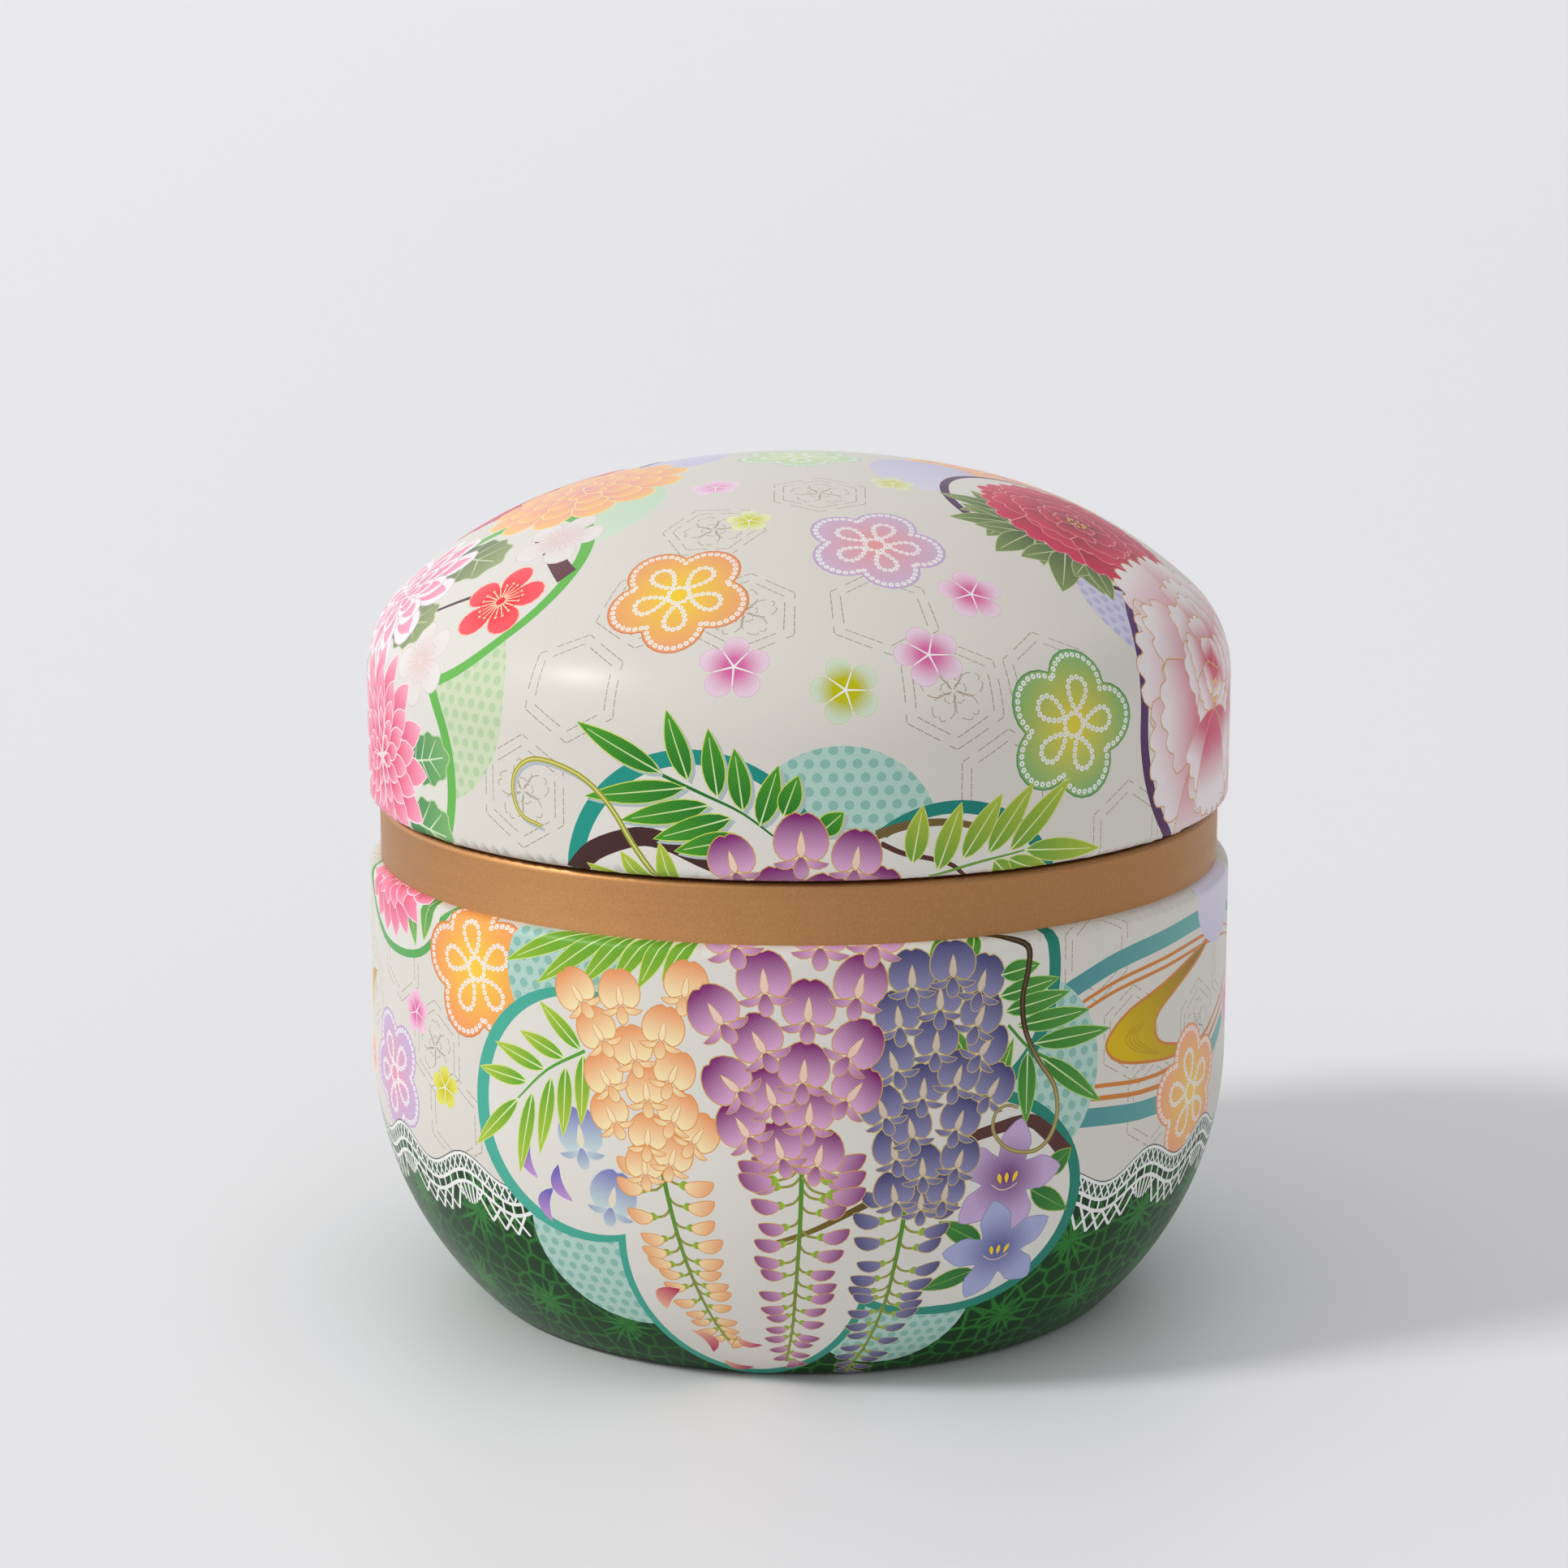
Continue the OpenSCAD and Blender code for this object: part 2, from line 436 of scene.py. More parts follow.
def unwrapped(angle, middle):
    """The angle, or the same one some whole turns away, within half a turn of the middle"""
    return middle + (angle - middle + math.pi) % TAU - math.pi


class Sheet:
    """A shell's printed outside. Its flat picture is a disc: the distance from the middle is the
    length along the profile, and the angle is the angle round the axis."""

    def __init__(self, profile):
        self.profile = profile
        self.shapes = []
        self.spin = np.eye(2)

    def s_of_y(self, y):
        return (np.asarray(y, float) - self.profile.centre_y) * -self.profile.side

    def y_of_s(self, s):
        return self.profile.centre_y - self.profile.side * s

    def add(self, outline, paint, page, inside):
        """Outlines run anticlockwise and start at their longest side, as the triangulation needs"""
        if turning(outline) < 0:
            outline = outline[::-1]
        sides = np.linalg.norm(np.roll(outline, -1, 0) - outline, axis=1)
        outline = np.roll(outline, -int(np.argmax(sides)), 0)
        self.shapes.append((outline, paint, page, self.spin, inside))
        return len(self.shapes) - 1

    def rings(self, step, rim_count):
        """Points that let the flat triangles follow the shell's curves, and those of the rim"""
        length = self.profile.length
        points = [np.zeros((1, 2))]
        s = step
        turn = 0.0
        while s < length - step * 0.6:
            radius = self.profile.at(s)[0, 0]
            count = max(6, int(TAU * radius / step))
            angle = TAU * (np.arange(count) + turn) / count
            points.append(np.stack([s * np.cos(angle), s * np.sin(angle)], 1))
            s += step * (0.3 if s > length - 3 else 0.87)
            turn = 0.5 - turn
        angle = TAU * np.arange(rim_count) / rim_count
        return np.stack([np.cos(angle), np.sin(angle)], 1) * length, np.concatenate(points)

    def triangulate(self, step=1.4, rim_count=420):
        """Points, triangles, and the numbers of the shapes over each triangle, where 0 is the rim"""
        rim, inner = self.rings(step, rim_count)
        points, faces, total = [rim], [list(range(rim_count))], rim_count
        for outline, *_ in self.shapes:
            points.append(outline)
            faces.append(list(range(total, total + len(outline))))
            total += len(outline)
        points.append(inner)
        flat = [Vector(p) for p in np.concatenate(points)]
        verts, _, tris, _, _, origins = geometry.delaunay_2d_cdt(flat, [], faces, 1, 1e-4, True)
        kept = [i for i, origin in enumerate(origins) if 0 in origin and len(tris[i]) == 3]
        used, tris = np.unique(np.array([tris[i] for i in kept]), return_inverse=True)
        verts = np.array([tuple(verts[i]) for i in used])
        return verts, tris.reshape(-1, 3), [set(origins[i]) for i in kept]

    def top_shape(self, covering):
        """The topmost shape over a triangle, or -1. A shape drawn inside another needs that one there too."""
        for face in sorted(covering - {0}, reverse=True):
            inside = self.shapes[face - 1][4]
            if inside is None or inside + 1 in covering:
                return face - 1
        return -1


def revolve(path, angles, facing, closed=False):
    """Points and quads of a path of (radius, height) in mm, taken round by the given angles"""
    count = len(angles)
    points = [(radius * math.sin(a), -radius * math.cos(a), height) for radius,
              height in path for a in angles]
    faces = []
    for i in range(len(path) if closed else len(path) - 1):
        below = i * count
        above = ((i + 1) % len(path)) * count
        for j in range(count):
            k = (j + 1) % count
            faces.append((below + j, below + k, above + k, above + j)[::facing])
    return points, faces


def corner_inks(sheet, ground, verts, tris, shapes):
    """The ink, and how much of the net shows, at each corner of each triangle"""
    ink = np.ones((len(tris), 3, 4))
    mark = np.zeros((len(tris), 3))
    groups = {}
    for face, shape in enumerate(shapes):
        groups.setdefault(shape, []).append(face)
    for shape, faces in groups.items():
        paint, local = ground, verts[tris[faces]].reshape(-1, 2)
        if shape >= 0:
            _, paint, page, spin, _ = sheet.shapes[shape]
            local = page.from_disc(local, spin)
        ink[faces, :, :3] = paint.at(local).reshape(-1, 3, 3)
        mark[faces] = paint.mark
    return ink, mark


def unrolled_corners(verts, tris):
    """Each corner's place on the unrolled shell, where the materials draw the net and the halftone"""
    angle = np.arctan2(verts[:, 0], -verts[:, 1])
    middle = verts[tris].mean(axis=1)
    centre = np.arctan2(middle[:, 0], -middle[:, 1])[:, None]
    flat = np.zeros((len(tris), 3, 3))
    flat[..., 0] = unwrapped(angle[tris], centre) * EQUATOR_R
    flat[..., 1] = np.linalg.norm(verts, axis=1)[tris]
    return flat


def rim_points(tris, angle):
    """The open edge's points in order round the axis"""
    sides = np.sort(np.concatenate([tris[:, [0, 1]], tris[:, [1, 2]], tris[:, [2, 0]]]), axis=1)
    sides, uses = np.unique(sides, axis=0, return_counts=True)
    rim = np.unique(sides[uses == 1])
    return rim[np.argsort(angle[rim])]


def build_shell(name, sheet, ground, inner_path, materials):
    """The printed sheet, with the plain inside joined to its rim so that the shell is closed"""
    side = sheet.profile.side
    verts, tris, origins = sheet.triangulate()
    shapes = [sheet.top_shape(origin) for origin in origins]
    angle = np.arctan2(verts[:, 0], -verts[:, 1])
    out = np.stack([np.sin(angle), -np.cos(angle)])
    place = sheet.profile.at(np.linalg.norm(verts, axis=1)).T
    coords = np.stack([place[0] * out[0], place[0] * out[1], place[1]], 1)
    normals = np.stack([place[2] * out[0], place[2] * out[1], place[3]], 1)
    tris = tris[:, ::side]
    ink, mark = corner_inks(sheet, ground, verts, tris, shapes)

    rim = rim_points(tris, angle)
    inner, inner_faces = revolve(inner_path, angle[rim], -side)
    base, count = len(coords), len(rim)
    faces = [tuple(int(v) for v in t) for t in tris]
    for j in range(count):
        k = (j + 1) % count
        faces.append((rim[j], rim[k], base + k, base + j)[::-side])
    faces += [tuple(base + v for v in face) for face in inner_faces]
    last = base + len(inner) - count
    faces.append(tuple(range(last, last + count))[::-side])

    mesh = bpy.data.meshes.new(name)
    mesh.from_pydata([tuple(p) for p in np.concatenate([coords, np.array(inner)]) * MM], [], faces)
    for material in materials:
        mesh.materials.append(material)
    for key, kind, field, values in (("ink", "FLOAT_COLOR", "color", ink), ("mark", "FLOAT", "value", mark),
                                     ("flat", "FLOAT_VECTOR", "vector", unrolled_corners(verts, tris))):
        width = values.size // (len(tris) * 3)
        spread = np.zeros(len(mesh.loops) * width, np.float32)
        spread[:values.size] = values.ravel()
        mesh.attributes.new(key, kind, "CORNER").data.foreach_set(field, spread)
    slots = np.ones(len(faces), np.int32)
    slots[:len(tris)] = 0
    mesh.polygons.foreach_set("material_index", slots)
    mesh.polygons.foreach_set("use_smooth", np.ones(len(faces), bool))
    mesh.update()
    own = [Vector(n) for n in normals] + [Vector(v.normal) for v in mesh.vertices[base:]]
    mesh.normals_split_custom_set_from_vertices(own)
    return new_object(name, mesh)


# ---------------------------------------------------------------- outlines

def smooth(points, closed=True, steps=3):
    """A curve through the points, as a polyline"""
    p = np.asarray(points, float)
    n = len(p)
    if closed:
        p = np.vstack([p[-1], p, p[0], p[1]])
    else:
        p = np.vstack([2 * p[0] - p[1], p, 2 * p[-1] - p[-2]])
        n -= 1
    out = []
    for i in range(n):
        a, b, c, d = p[i:i + 4]
        for t in np.arange(steps) / steps:
            out.append(0.5 * (2 * b + (c - a) * t + (2 * a - 5 * b + 4 * c - d) * t * t
                              + (3 * b - a - 3 * c + d) * t ** 3))
    if not closed:
        out.append(p[-2])
    return np.array(out)


def mirrored(half, notch):
    """A closed outline from its right half, with a point between the halves"""
    return list(half) + [notch] + [(-x, y) for x, y in half[::-1]]


def oval(cx, cy, a, b=None, sides=90):
    t = TAU * np.arange(sides) / sides
    return np.stack([cx + a * np.cos(t), cy + (b or a) * np.sin(t)], 1)


def ribbon(points, width, start=1.0, end=1.0, steps=4, point=0.0):
    """A band along a smooth line, with its share of the width at each end. The point is the last
    share of its length, in which it narrows to nothing."""
    line = smooth(points, False, steps) if steps > 1 else np.asarray(points, float)
    step = np.gradient(line, axis=0)
    side = np.stack([-step[:, 1], step[:, 0]], 1)
    side /= np.maximum(np.linalg.norm(side, axis=1, keepdims=True), 1e-9)
    t = np.linspace(0, 1, len(line))
    half = width / 2 * (start + (end - start) * t)
    if point:
        half *= np.clip((1 - t) / point, 0.04, 1)
    return np.vstack([line + side * half[:, None], (line - side * half[:, None])[::-1]])


def lens(base, tip, width, belly=0.42, steps=8):
    """A pointed leaf shape, widest at the belly's share of its length"""
    base, run = np.array(base, float), np.subtract(tip, base).astype(float)
    length = np.linalg.norm(run)
    run /= length
    side = np.array([-run[1], run[0]])
    t = np.linspace(0, 1, steps + 1)
    half = width / 2 * np.sin(math.pi * t ** (math.log(0.5) / math.log(belly))) ** 0.85
    half[-1] = 0
    middle = base + np.outer(t * length, run)
    half = half[:, None] * side
    return np.vstack([middle + half, (middle - half)[-2:0:-1]])


def lobes(reach, lobe, steps=9):
    """The outline of five round petals: arcs about centres at the reach, with notches between them"""
    half = math.pi / 5
    gap, foot = reach * math.sin(half), reach * math.cos(half)
    notch = foot + math.sqrt(lobe ** 2 - gap ** 2) if lobe > gap else 0.86 * foot
    end = math.pi / 2 + half - math.acos(min(1.0, gap / lobe))
    out = []
    for middle in fifths():
        out.append(polar(notch, middle - half))
        centre = polar(reach, middle)
        for i in range(1, steps):
            x, y = polar(lobe, middle - end + 2 * end * i / steps)
            out.append((centre[0] + x, centre[1] + y))
    return np.array(out)


def turning(outline):
    """Twice the area, positive where the outline runs anticlockwise"""
    x, y = outline[:, 0], outline[:, 1]
    return np.sum(x * np.roll(y, -1) - np.roll(x, -1) * y)


def grown(outline, amount):
    """The outline moved out by an amount, or in where it is negative"""
    ahead = np.roll(outline, -1, 0) - outline
    back = outline - np.roll(outline, 1, 0)
    step = ahead / np.maximum(np.linalg.norm(ahead, axis=1, keepdims=True), 1e-9)
    step = step + back / np.maximum(np.linalg.norm(back, axis=1, keepdims=True), 1e-9)
    out = np.stack([step[:, 1], -step[:, 0]], 1)
    out /= np.maximum(np.linalg.norm(out, axis=1, keepdims=True), 0.6)
    return outline + out * amount * np.sign(turning(outline))


# ---------------------------------------------------------------- inks

CREAM = (217, 213, 203)
PAPER = (221, 218, 209)
LINE = (168, 152, 132)
MINT = (176, 208, 196)
MINT_DOT = (138, 186, 172)
LEAF = (66, 142, 40)
LEAF_LIGHT = (170, 196, 62)
LEAF_EDGE = (196, 214, 120)
WHITE = (236, 236, 232)
GROUND = (8, 54, 14)
BURST = (38, 118, 40)
YELLOW = (244, 206, 40)

# A flower's inks: deep, pale and edge
ORANGE_FLOWER = ((234, 152, 100), (246, 228, 176), (220, 152, 84))
MAGENTA_FLOWER = ((122, 30, 106), (218, 168, 204), (206, 160, 80))
BLUE_FLOWER = ((68, 66, 114), (140, 138, 174), (196, 172, 104))
GHOST_FLOWER = ((126, 124, 186), (190, 208, 208), (196, 206, 212))

# A leaf's inks: light, dark, edge and rib
PALE_EDGES = ((206, 220, 130), (222, 232, 170))
BELL_LEAF = ((66, 136, 56), (40, 104, 46), (166, 176, 90), (110, 160, 80))
OLIVE_LEAF = ((150, 164, 112), (84, 112, 70), (196, 202, 160), (196, 202, 160))
GREY_LEAF = ((122, 176, 108), (62, 134, 76), (184, 208, 160), (206, 224, 184))
DARK_LEAF = ((132, 150, 90), (72, 96, 56), (188, 194, 140), (200, 206, 160))


# ---------------------------------------------------------------- motifs

def leaf(page, base, tip, width, light=LEAF_LIGHT, dark=LEAF, edge=LEAF_EDGE, rib=LEAF_EDGE):
    base, tip = np.array(base, float), np.array(tip, float)
    page.edged(lens(base, tip, width), Paint(light, dark, tip, base), edge, 0.1)
    page.band([base, (base + tip) / 2, base + (tip - base) * 0.86], 0.16, rib, 1.0, 0.4, 3)


def leaves(page, rows, width, *inks):
    """Leaves from rows of four numbers: the place of the base, then that of the tip"""
    for row in rows:
        leaf(page, row[:2], row[2:], width, *inks)


def spray(page, stem, rows, width, *inks):
    page.band(stem, 0.34, inks[1], 1.0, 0.5)
    leaves(page, rows, width, *inks)


def wisteria(page, x, y, size, turn, inks):
    """One flower: a broad standard petal with a pale mark, two wings and a keel"""
    deep, pale, edge = inks
    s = page.stamp(x, y, turn, size)
    for side in (-1, 1):
        wing = [(side * 0.3, -1.95), (side * 2.35, -2.3), (side * 1.5, -2.85), (side * 0.6, -2.6)]
        tone = Paint(pale, deep, (side * 0.2, -2), (side * 3.6, -2.2))
        s.edged(smooth(wing, steps=2), tone, edge, 0.09 / size)
    keel = [(0, -1.6), (0.7, -2.7), (0.45, -3.6), (-0.3, -3.65), (-0.66, -2.7)]
    s.edged(smooth(keel), Paint(pale, deep, (0.3, -3.9), (-0.2, -1.4)), edge, 0.09 / size)
    half = [(0.08, -1.6), (1.25, -2.15), (2.2, -1.3), (2.3, 0.15), (1.55, 1.5), (0.5, 2.08)]
    standard = smooth(mirrored(half, (0, 1.86)), steps=2)
    s.edged(standard, Paint(pale, deep, (0, -1.8), (0, 1.7)), edge, 0.11 / size)
    light = tuple(0.3 * c + 0.7 * w for c, w in zip(pale, (246, 222, 180)))
    mark = [(-0.1, -1.75), (-0.42, -1.1), (0.0, 0.5), (0.42, -1.1), (0.15, -1.75)]
    s.edged(smooth(mark, steps=2), light, edge, 0.07 / size)


def bud(page, x, y, reach, drop, side, inks):
    """A bud on its curved stalk, hanging to one side of the stem and turned down by the drop in degrees"""
    deep, pale, edge = inks
    length = 1.0 + 0.36 * reach
    base = max(0.3, reach - length)
    s = page.stamp(x, y, -side * drop, 1.0, side < 0)
    s.band([(0, 0), (0.35 * base, -0.45 * base), (base, -0.62 * base)], 0.26, (150, 148, 66), steps=3)
    head = s.stamp(base, -0.62 * base, 0, length)
    head.fill(lens((-0.2, 0), (0.2, 0.08), 0.34, 0.5, 4), Paint(LEAF_LIGHT, LEAF, (-0.2, 0), (0.2, 0)))
    shape = [(0.0, 0.1), (0.4, 0.27), (0.84, 0.33), (1.0, 0.24), (0.86, -0.12), (0.5, -0.33), (0.1, -0.2)]
    head.edged(smooth(shape, steps=2), Paint(pale, deep, (-0.1, 0.1), (1.0, -0.2)), edge, 0.09 / length)


def raceme_tail(page, stem, rows, first, last, inks):
    """The pairs of buds down a stem, smaller and more drooping towards its tip"""
    line = smooth(stem, False, 12)
    for i in range(rows):
        t = i / rows
        for side in (-1, 1):
            x, y = line[int((t + 0.02 * (side + 1)) * (len(line) - 1))]
            reach = (first + (last - first) * t) * (1 + 0.08 * math.sin(4.3 * i + 2 * side))
            bud(page, x, y, reach, 60 * t ** 3 + 7 * math.sin(5.1 * i + side), side, inks)
    page.band(line, 0.46, Paint(LEAF, (146, 144, 64), line[0], line[-1]), 1.0, 0.5, 1)
    bud(page, line[-1][0] + 0.8, line[-1][1] + 0.6, last, 80, -1, inks)


def raceme(page, flowers, middle, size, spread, inks):
    """Flowers from the bottom up, each leaning away from the raceme's middle line"""
    for i, (x, y) in enumerate(sorted(flowers, key=lambda f: f[1])):
        droop = min(1.0, max(0.3, (46 - y) / 10))
        lean = max(-50, min(50, -spread * (x - middle) * droop)) + 4 * math.sin(2.3 * i)
        wisteria(page, x, y, size * (0.78 + 0.0065 * y), lean, inks)


def blossom(page, x, y, radius, centre, edge, turn=0.0, core=0.26):
    s = page.stamp(x, y, turn, radius)
    outline = lobes(0.62, 0.37, steps=8)
    s.fill(grown(outline, 0.02), tuple(0.35 * a + 0.65 * b for a, b in zip(centre, edge)))
    for size in (1.0, 0.68, 0.36):
        s.fill(outline * size, Paint(centre, edge, (0, 0), (0, 0.86), radial=True, core=core))
    for k in range(5):
        s.band([(0, 0), polar(0.58, TAU * (k + 0.5) / 5 + math.pi / 2)], 0.06, WHITE, 1.0, 0.5, 1)


def bead_line(page, line, radius, gap, hole):
    """Beads round a closed line, as small rings with the given colour in their holes"""
    line = np.vstack([line, line[:1]])
    along = np.concatenate([[0], np.cumsum(np.linalg.norm(np.diff(line, axis=0), axis=1))])
    count = max(2, int(round(along[-1] / gap)))
    for d in np.arange(count) * along[-1] / count:
        x, y = np.interp(d, along, line[:, 0]), np.interp(d, along, line[:, 1])
        page.fill(oval(x, y, radius, sides=7), WHITE)
        page.fill(oval(x, y, 0.36 * radius, sides=4), hole)


def roundel(page, x, y, radius, centre, edge, rim, turn=0.0):
    """A five-lobed plum with a chain of beads round it, and petals drawn in beads"""
    s = page.stamp(x, y, turn)
    tone = Paint(centre, edge, (0, 0), (0, 0.95 * radius), radial=True)
    s.edged(lobes(0.56 * radius, 0.45 * radius), tone, rim, 0.16)
    bead_line(s, lobes(0.55 * radius, 0.38 * radius), 0.28, 0.66, edge)
    middle = tuple((a + b) / 2 for a, b in zip(centre, edge))
    for a in fifths():
        loop = []
        for b in np.linspace(-math.pi, math.pi, 25)[:-1]:
            out = radius * (0.4 - 0.215 * math.cos(b))
            wide = radius * 0.135 * math.sin(b) * (1 - 0.45 * math.cos(b))
            loop.append((out * math.cos(a) - wide * math.sin(a), out * math.sin(a) + wide * math.cos(a)))
        bead_line(s, np.array(loop), 0.28, 0.58, middle)
    bead_line(s, oval(0, 0, 0.15 * radius, sides=16), 0.27, 0.56, centre)


def plum(page, x, y, radius, turn, petal, heart, thread, rim):
    """A plum blossom with a ring of stamens"""
    s = page.stamp(x, y, turn, radius)
    outline = lobes(0.65, 0.345)
    s.fill(grown(outline, 0.03), rim)
    for size in (1.0, 0.55):
        s.fill(outline * size, Paint(heart, petal, (0, 0), (0, 0.8), radial=True, core=0.2))
    for k in range(20):
        end = np.array(polar(0.42 + 0.03 * (k % 2), TAU * k / 20))
        s.band([end * 0.25, end], 0.03, thread, 1.0, 0.8, 1)
        s.fill(oval(*(end * 1.12), 0.034, sides=6), thread)
    s.fill(oval(0, 0, 0.09, sides=10), heart)


def dotted_cloud(page, x, y, radius, tone=MINT, dot=MINT_DOT, pitch=1.45):
    disc = page.fill(oval(x, y, radius, sides=64), tone)
    row = pitch * 0.87
    for i in range(-int(radius / row) - 1, int(radius / row) + 2):
        for j in range(-int(radius / pitch) - 1, int(radius / pitch) + 2):
            px, py = x + (j + 0.5 * (i % 2)) * pitch, y + i * row
            if math.hypot(px - x, py - y) < 1.08 * radius:
                page.fill(oval(px, py, 0.48, sides=7), dot, disc)


def crescent(page, x, y, length, turn, deep, pale, fat=0.3, flip=False):
    """A fallen petal, curved like a new moon"""
    s = page.stamp(x, y, turn, length, flip)
    t = np.linspace(-1, 1, 9)
    bow = 0.26 * (1 - t ** 2)
    half = fat * (1 - t ** 2) ** 0.7 / 2
    outer, inner = np.stack([0.5 * t, bow + half], 1), np.stack([0.5 * t, bow - half], 1)
    s.fill(np.vstack([outer, inner[-2:0:-1]]), Paint(pale, deep, (-0.5, 0), (0.4, 0)))


def bellflower(page, x, y, radius, turn, deep, pale):
    s = page.stamp(x, y, turn, radius)
    star = []
    for a in fifths():
        for lean, r in ((-0.62, 0.44), (-0.42, 0.7), (-0.22, 0.86), (0, 1.02), (0.22, 0.86), (0.42, 0.7)):
            star.append(polar(r, a + lean))
    star = smooth(star, steps=2)
    tone = Paint(deep, pale, (0, 0.05), (0, 0.75), radial=True)
    s.edged(star, tone, tuple(0.8 * c for c in pale), 0.014)
    s.fill(star * 0.5, tone)
    upright = page.stamp(x, y, 0, radius)
    style = [(-0.26, -0.05), (-0.12, -0.15), (0.04, -0.16), (0.2, -0.08)]
    upright.band(style, 0.035, (214, 190, 170), 0.6, 0.6)
    for left, lean in ((-0.1, -0.05), (0.0, 0.0), (0.11, 0.08)):
        upright.fill(lens((left, -0.06), (left + lean, 0.13), 0.075, 0.55, 5), YELLOW)


def hexagon_lines(page, x, y, radius, flower, turn=0.0):
    """A turtle-shell cell in two fine broken lines, some with a small flower in them"""
    s = page.stamp(x, y, turn)
    dashes = 6
    for r in (radius, radius * 0.8):
        corners = [np.array((r * math.sin(TAU * k / 6), r * math.cos(TAU * k / 6))) for k in range(7)]
        for a, b in zip(corners, corners[1:]):
            for i in range(dashes):
                if (i * 7 + int(r * 10)) % 6:
                    dash = [a + (b - a) * (i + 0.06) / dashes, a + (b - a) * (i + 0.9) / dashes]
                    s.band(dash, 0.1, LINE, steps=1)
    if flower:
        half = [(0.02, 0.08), (0.18, 0.22), (0.19, 0.44), (0.07, 0.57)]
        ring = smooth(mirrored(half, (0, 0.51)), False, 2) * radius
        for k in range(5):
            petal = s.stamp(0, 0, 360 * k / 5)
            for size in (1.0, 0.42):
                for i in range(0, len(ring) - 3, 4):
                    petal.band(ring[i:i + 4] * size, 0.09, LINE, steps=1)


def pointed_flower(page, x, y, rings, deep, pale, edge, turn, first=0.0, last=360.0):
    """A chrysanthemum: rings of pointed petals, the outer ones first"""
    for number, (count, start, end, width) in enumerate(rings):
        for k in range(count):
            angle = first + (last - first) * (k + 0.5 * (number % 2)) / count
            s = page.stamp(x, y, turn + angle - 90)
            heart = start + 0.38 * (end - start)
            s.edged(lens((0, start), (0, end), width, 0.62), Paint(deep, pale, (0, heart), (0, end)), edge,
                    0.14)


def round_petals(page, x, y, rings, deep, pale, edge, turn=0.0, heart=None):
    """A chrysanthemum with blunt petals, the outer ring first, each with a coloured heart if one is given"""
    for number, (count, start, end, width) in enumerate(rings):
        h = width / 2
        half = [(h * 0.55, end - 0.12 * h), (h, end - h), (h * 0.5, start)]
        outline = smooth([(-x, y) for x, y in half[::-1]] + [(0, end)] + half, steps=2)
        for k in range(count):
            s = page.stamp(x, y, turn + 360 * (k + 0.5 * (number % 2)) / count)
            s.edged(outline, Paint(deep, pale, (0, start), (0, end)), edge, 0.16)
            if heart:
                middle = lens((0, start), (0, end - 0.3 * h), width * 0.56, 0.6, 6)
                s.fill(middle, Paint(*heart, (0, start), (0, end)))


def frilled_petal(page, reach, width, frills, deep, pale, edge, blush):
    """A peony's petal, from its base at the origin to a frilled tip"""
    half = math.atan2(width / 2, reach * 0.8)
    points = [(0, 0), (-width * 0.3, reach * 0.32)]
    for k in range(frills):
        for t, lift in ((0.06, 0.95), (0.3, 1.0), (0.7, 1.0), (0.94, 0.95)):
            a = -half + 2 * half * (k + t) / frills
            r = reach * lift * (1 - 0.12 * (a / half) ** 2 + 0.03 * math.sin(7 * a + reach))
            points.append((r * math.sin(a), r * math.cos(a)))
    points.append((width * 0.3, reach * 0.32))
    page.edged(smooth(points, steps=2), Paint(deep, pale, (0, reach * 0.3), (0, reach * blush)), edge, 0.14)


def peony(page, x, y, rings, deep, pale, edge, turn, blush):
    """Rings of frilled petals, the outer ones first"""
    for number, (count, reach, width, frills) in enumerate(rings):
        for k in range(count):
            s = page.stamp(x, y, turn + 360 * (k + 0.45 * number) / count + 9 * math.sin(3.1 * k + number))
            longer = reach * (1 + 0.07 * math.sin(5.3 * k + number))
            frilled_petal(s, longer, width, frills, deep, pale, edge, blush)


def stamens(page, x, y, ring, radius):
    for k in range(9):
        right, up = polar(ring, TAU * k / 9)
        page.fill(oval(x + right, y + up, radius, sides=6), YELLOW)


def lobed_leaf(page, x, y, turn, length, light, dark, edge, rib):
    """A chrysanthemum leaf: a broad blade with blunt teeth, and veins from its midrib"""
    s = page.stamp(x, y, turn, length)
    blade = [(0, 0)]
    for a in np.radians(np.arange(-162, 163, 9)):
        r = 0.46 * (1 + 0.07 * math.cos(9 * a)) * (1 + 0.12 * math.cos(2 * a))
        blade.append((0.92 * r * math.sin(a), 0.52 + r * math.cos(a)))
    s.edged(smooth(blade, steps=1), Paint(dark, light, (0, 0.1), (0, 1)), edge, 0.02)
    s.band([(0, 0.02), (0.01, 0.5), (0, 0.9)], 0.04, rib, 1.0, 0.4, 2)
    for way in (-1, 1):
        for low, out, high in ((0.14, 0.26, 0.24), (0.32, 0.34, 0.52), (0.54, 0.26, 0.78)):
            s.band([(0, low), (way * out, high)], 0.03, rib, 1.0, 0.3, 1)


def leaf_cluster(page, x, y, turn, size, *inks):
    """A peony's leaf: three pointed leaflets from one stalk"""
    s = page.stamp(x, y, turn)
    for side, reach, width in ((-42, 0.82, 0.36), (42, 0.82, 0.36), (0, 1.0, 0.42)):
        a = math.radians(side)
        leaf(s, (0, 0), (size * reach * math.sin(a), size * reach * math.cos(a)), size * width, *inks)


def burst(page, x, y, radius=5.0, rays=14):
    """A star of fine rays, where the lines of the ground's net meet"""
    for k in range(rays):
        a = TAU * k / rays
        right, up = polar(radius * (0.55 + 0.45 * math.sin(2.7 * k + x) ** 2), a)
        page.fill(lens((x, y), (x + right, y + up), 0.4, 0.3, 4), BURST)


def lace_edge(x, crest, drop=0.0):
    """The height of the lace's wavy edge, less a drop"""
    return LACE_TOP + LACE_RISE * math.cos(TAU * (x - crest) / LACE_PERIOD) - drop


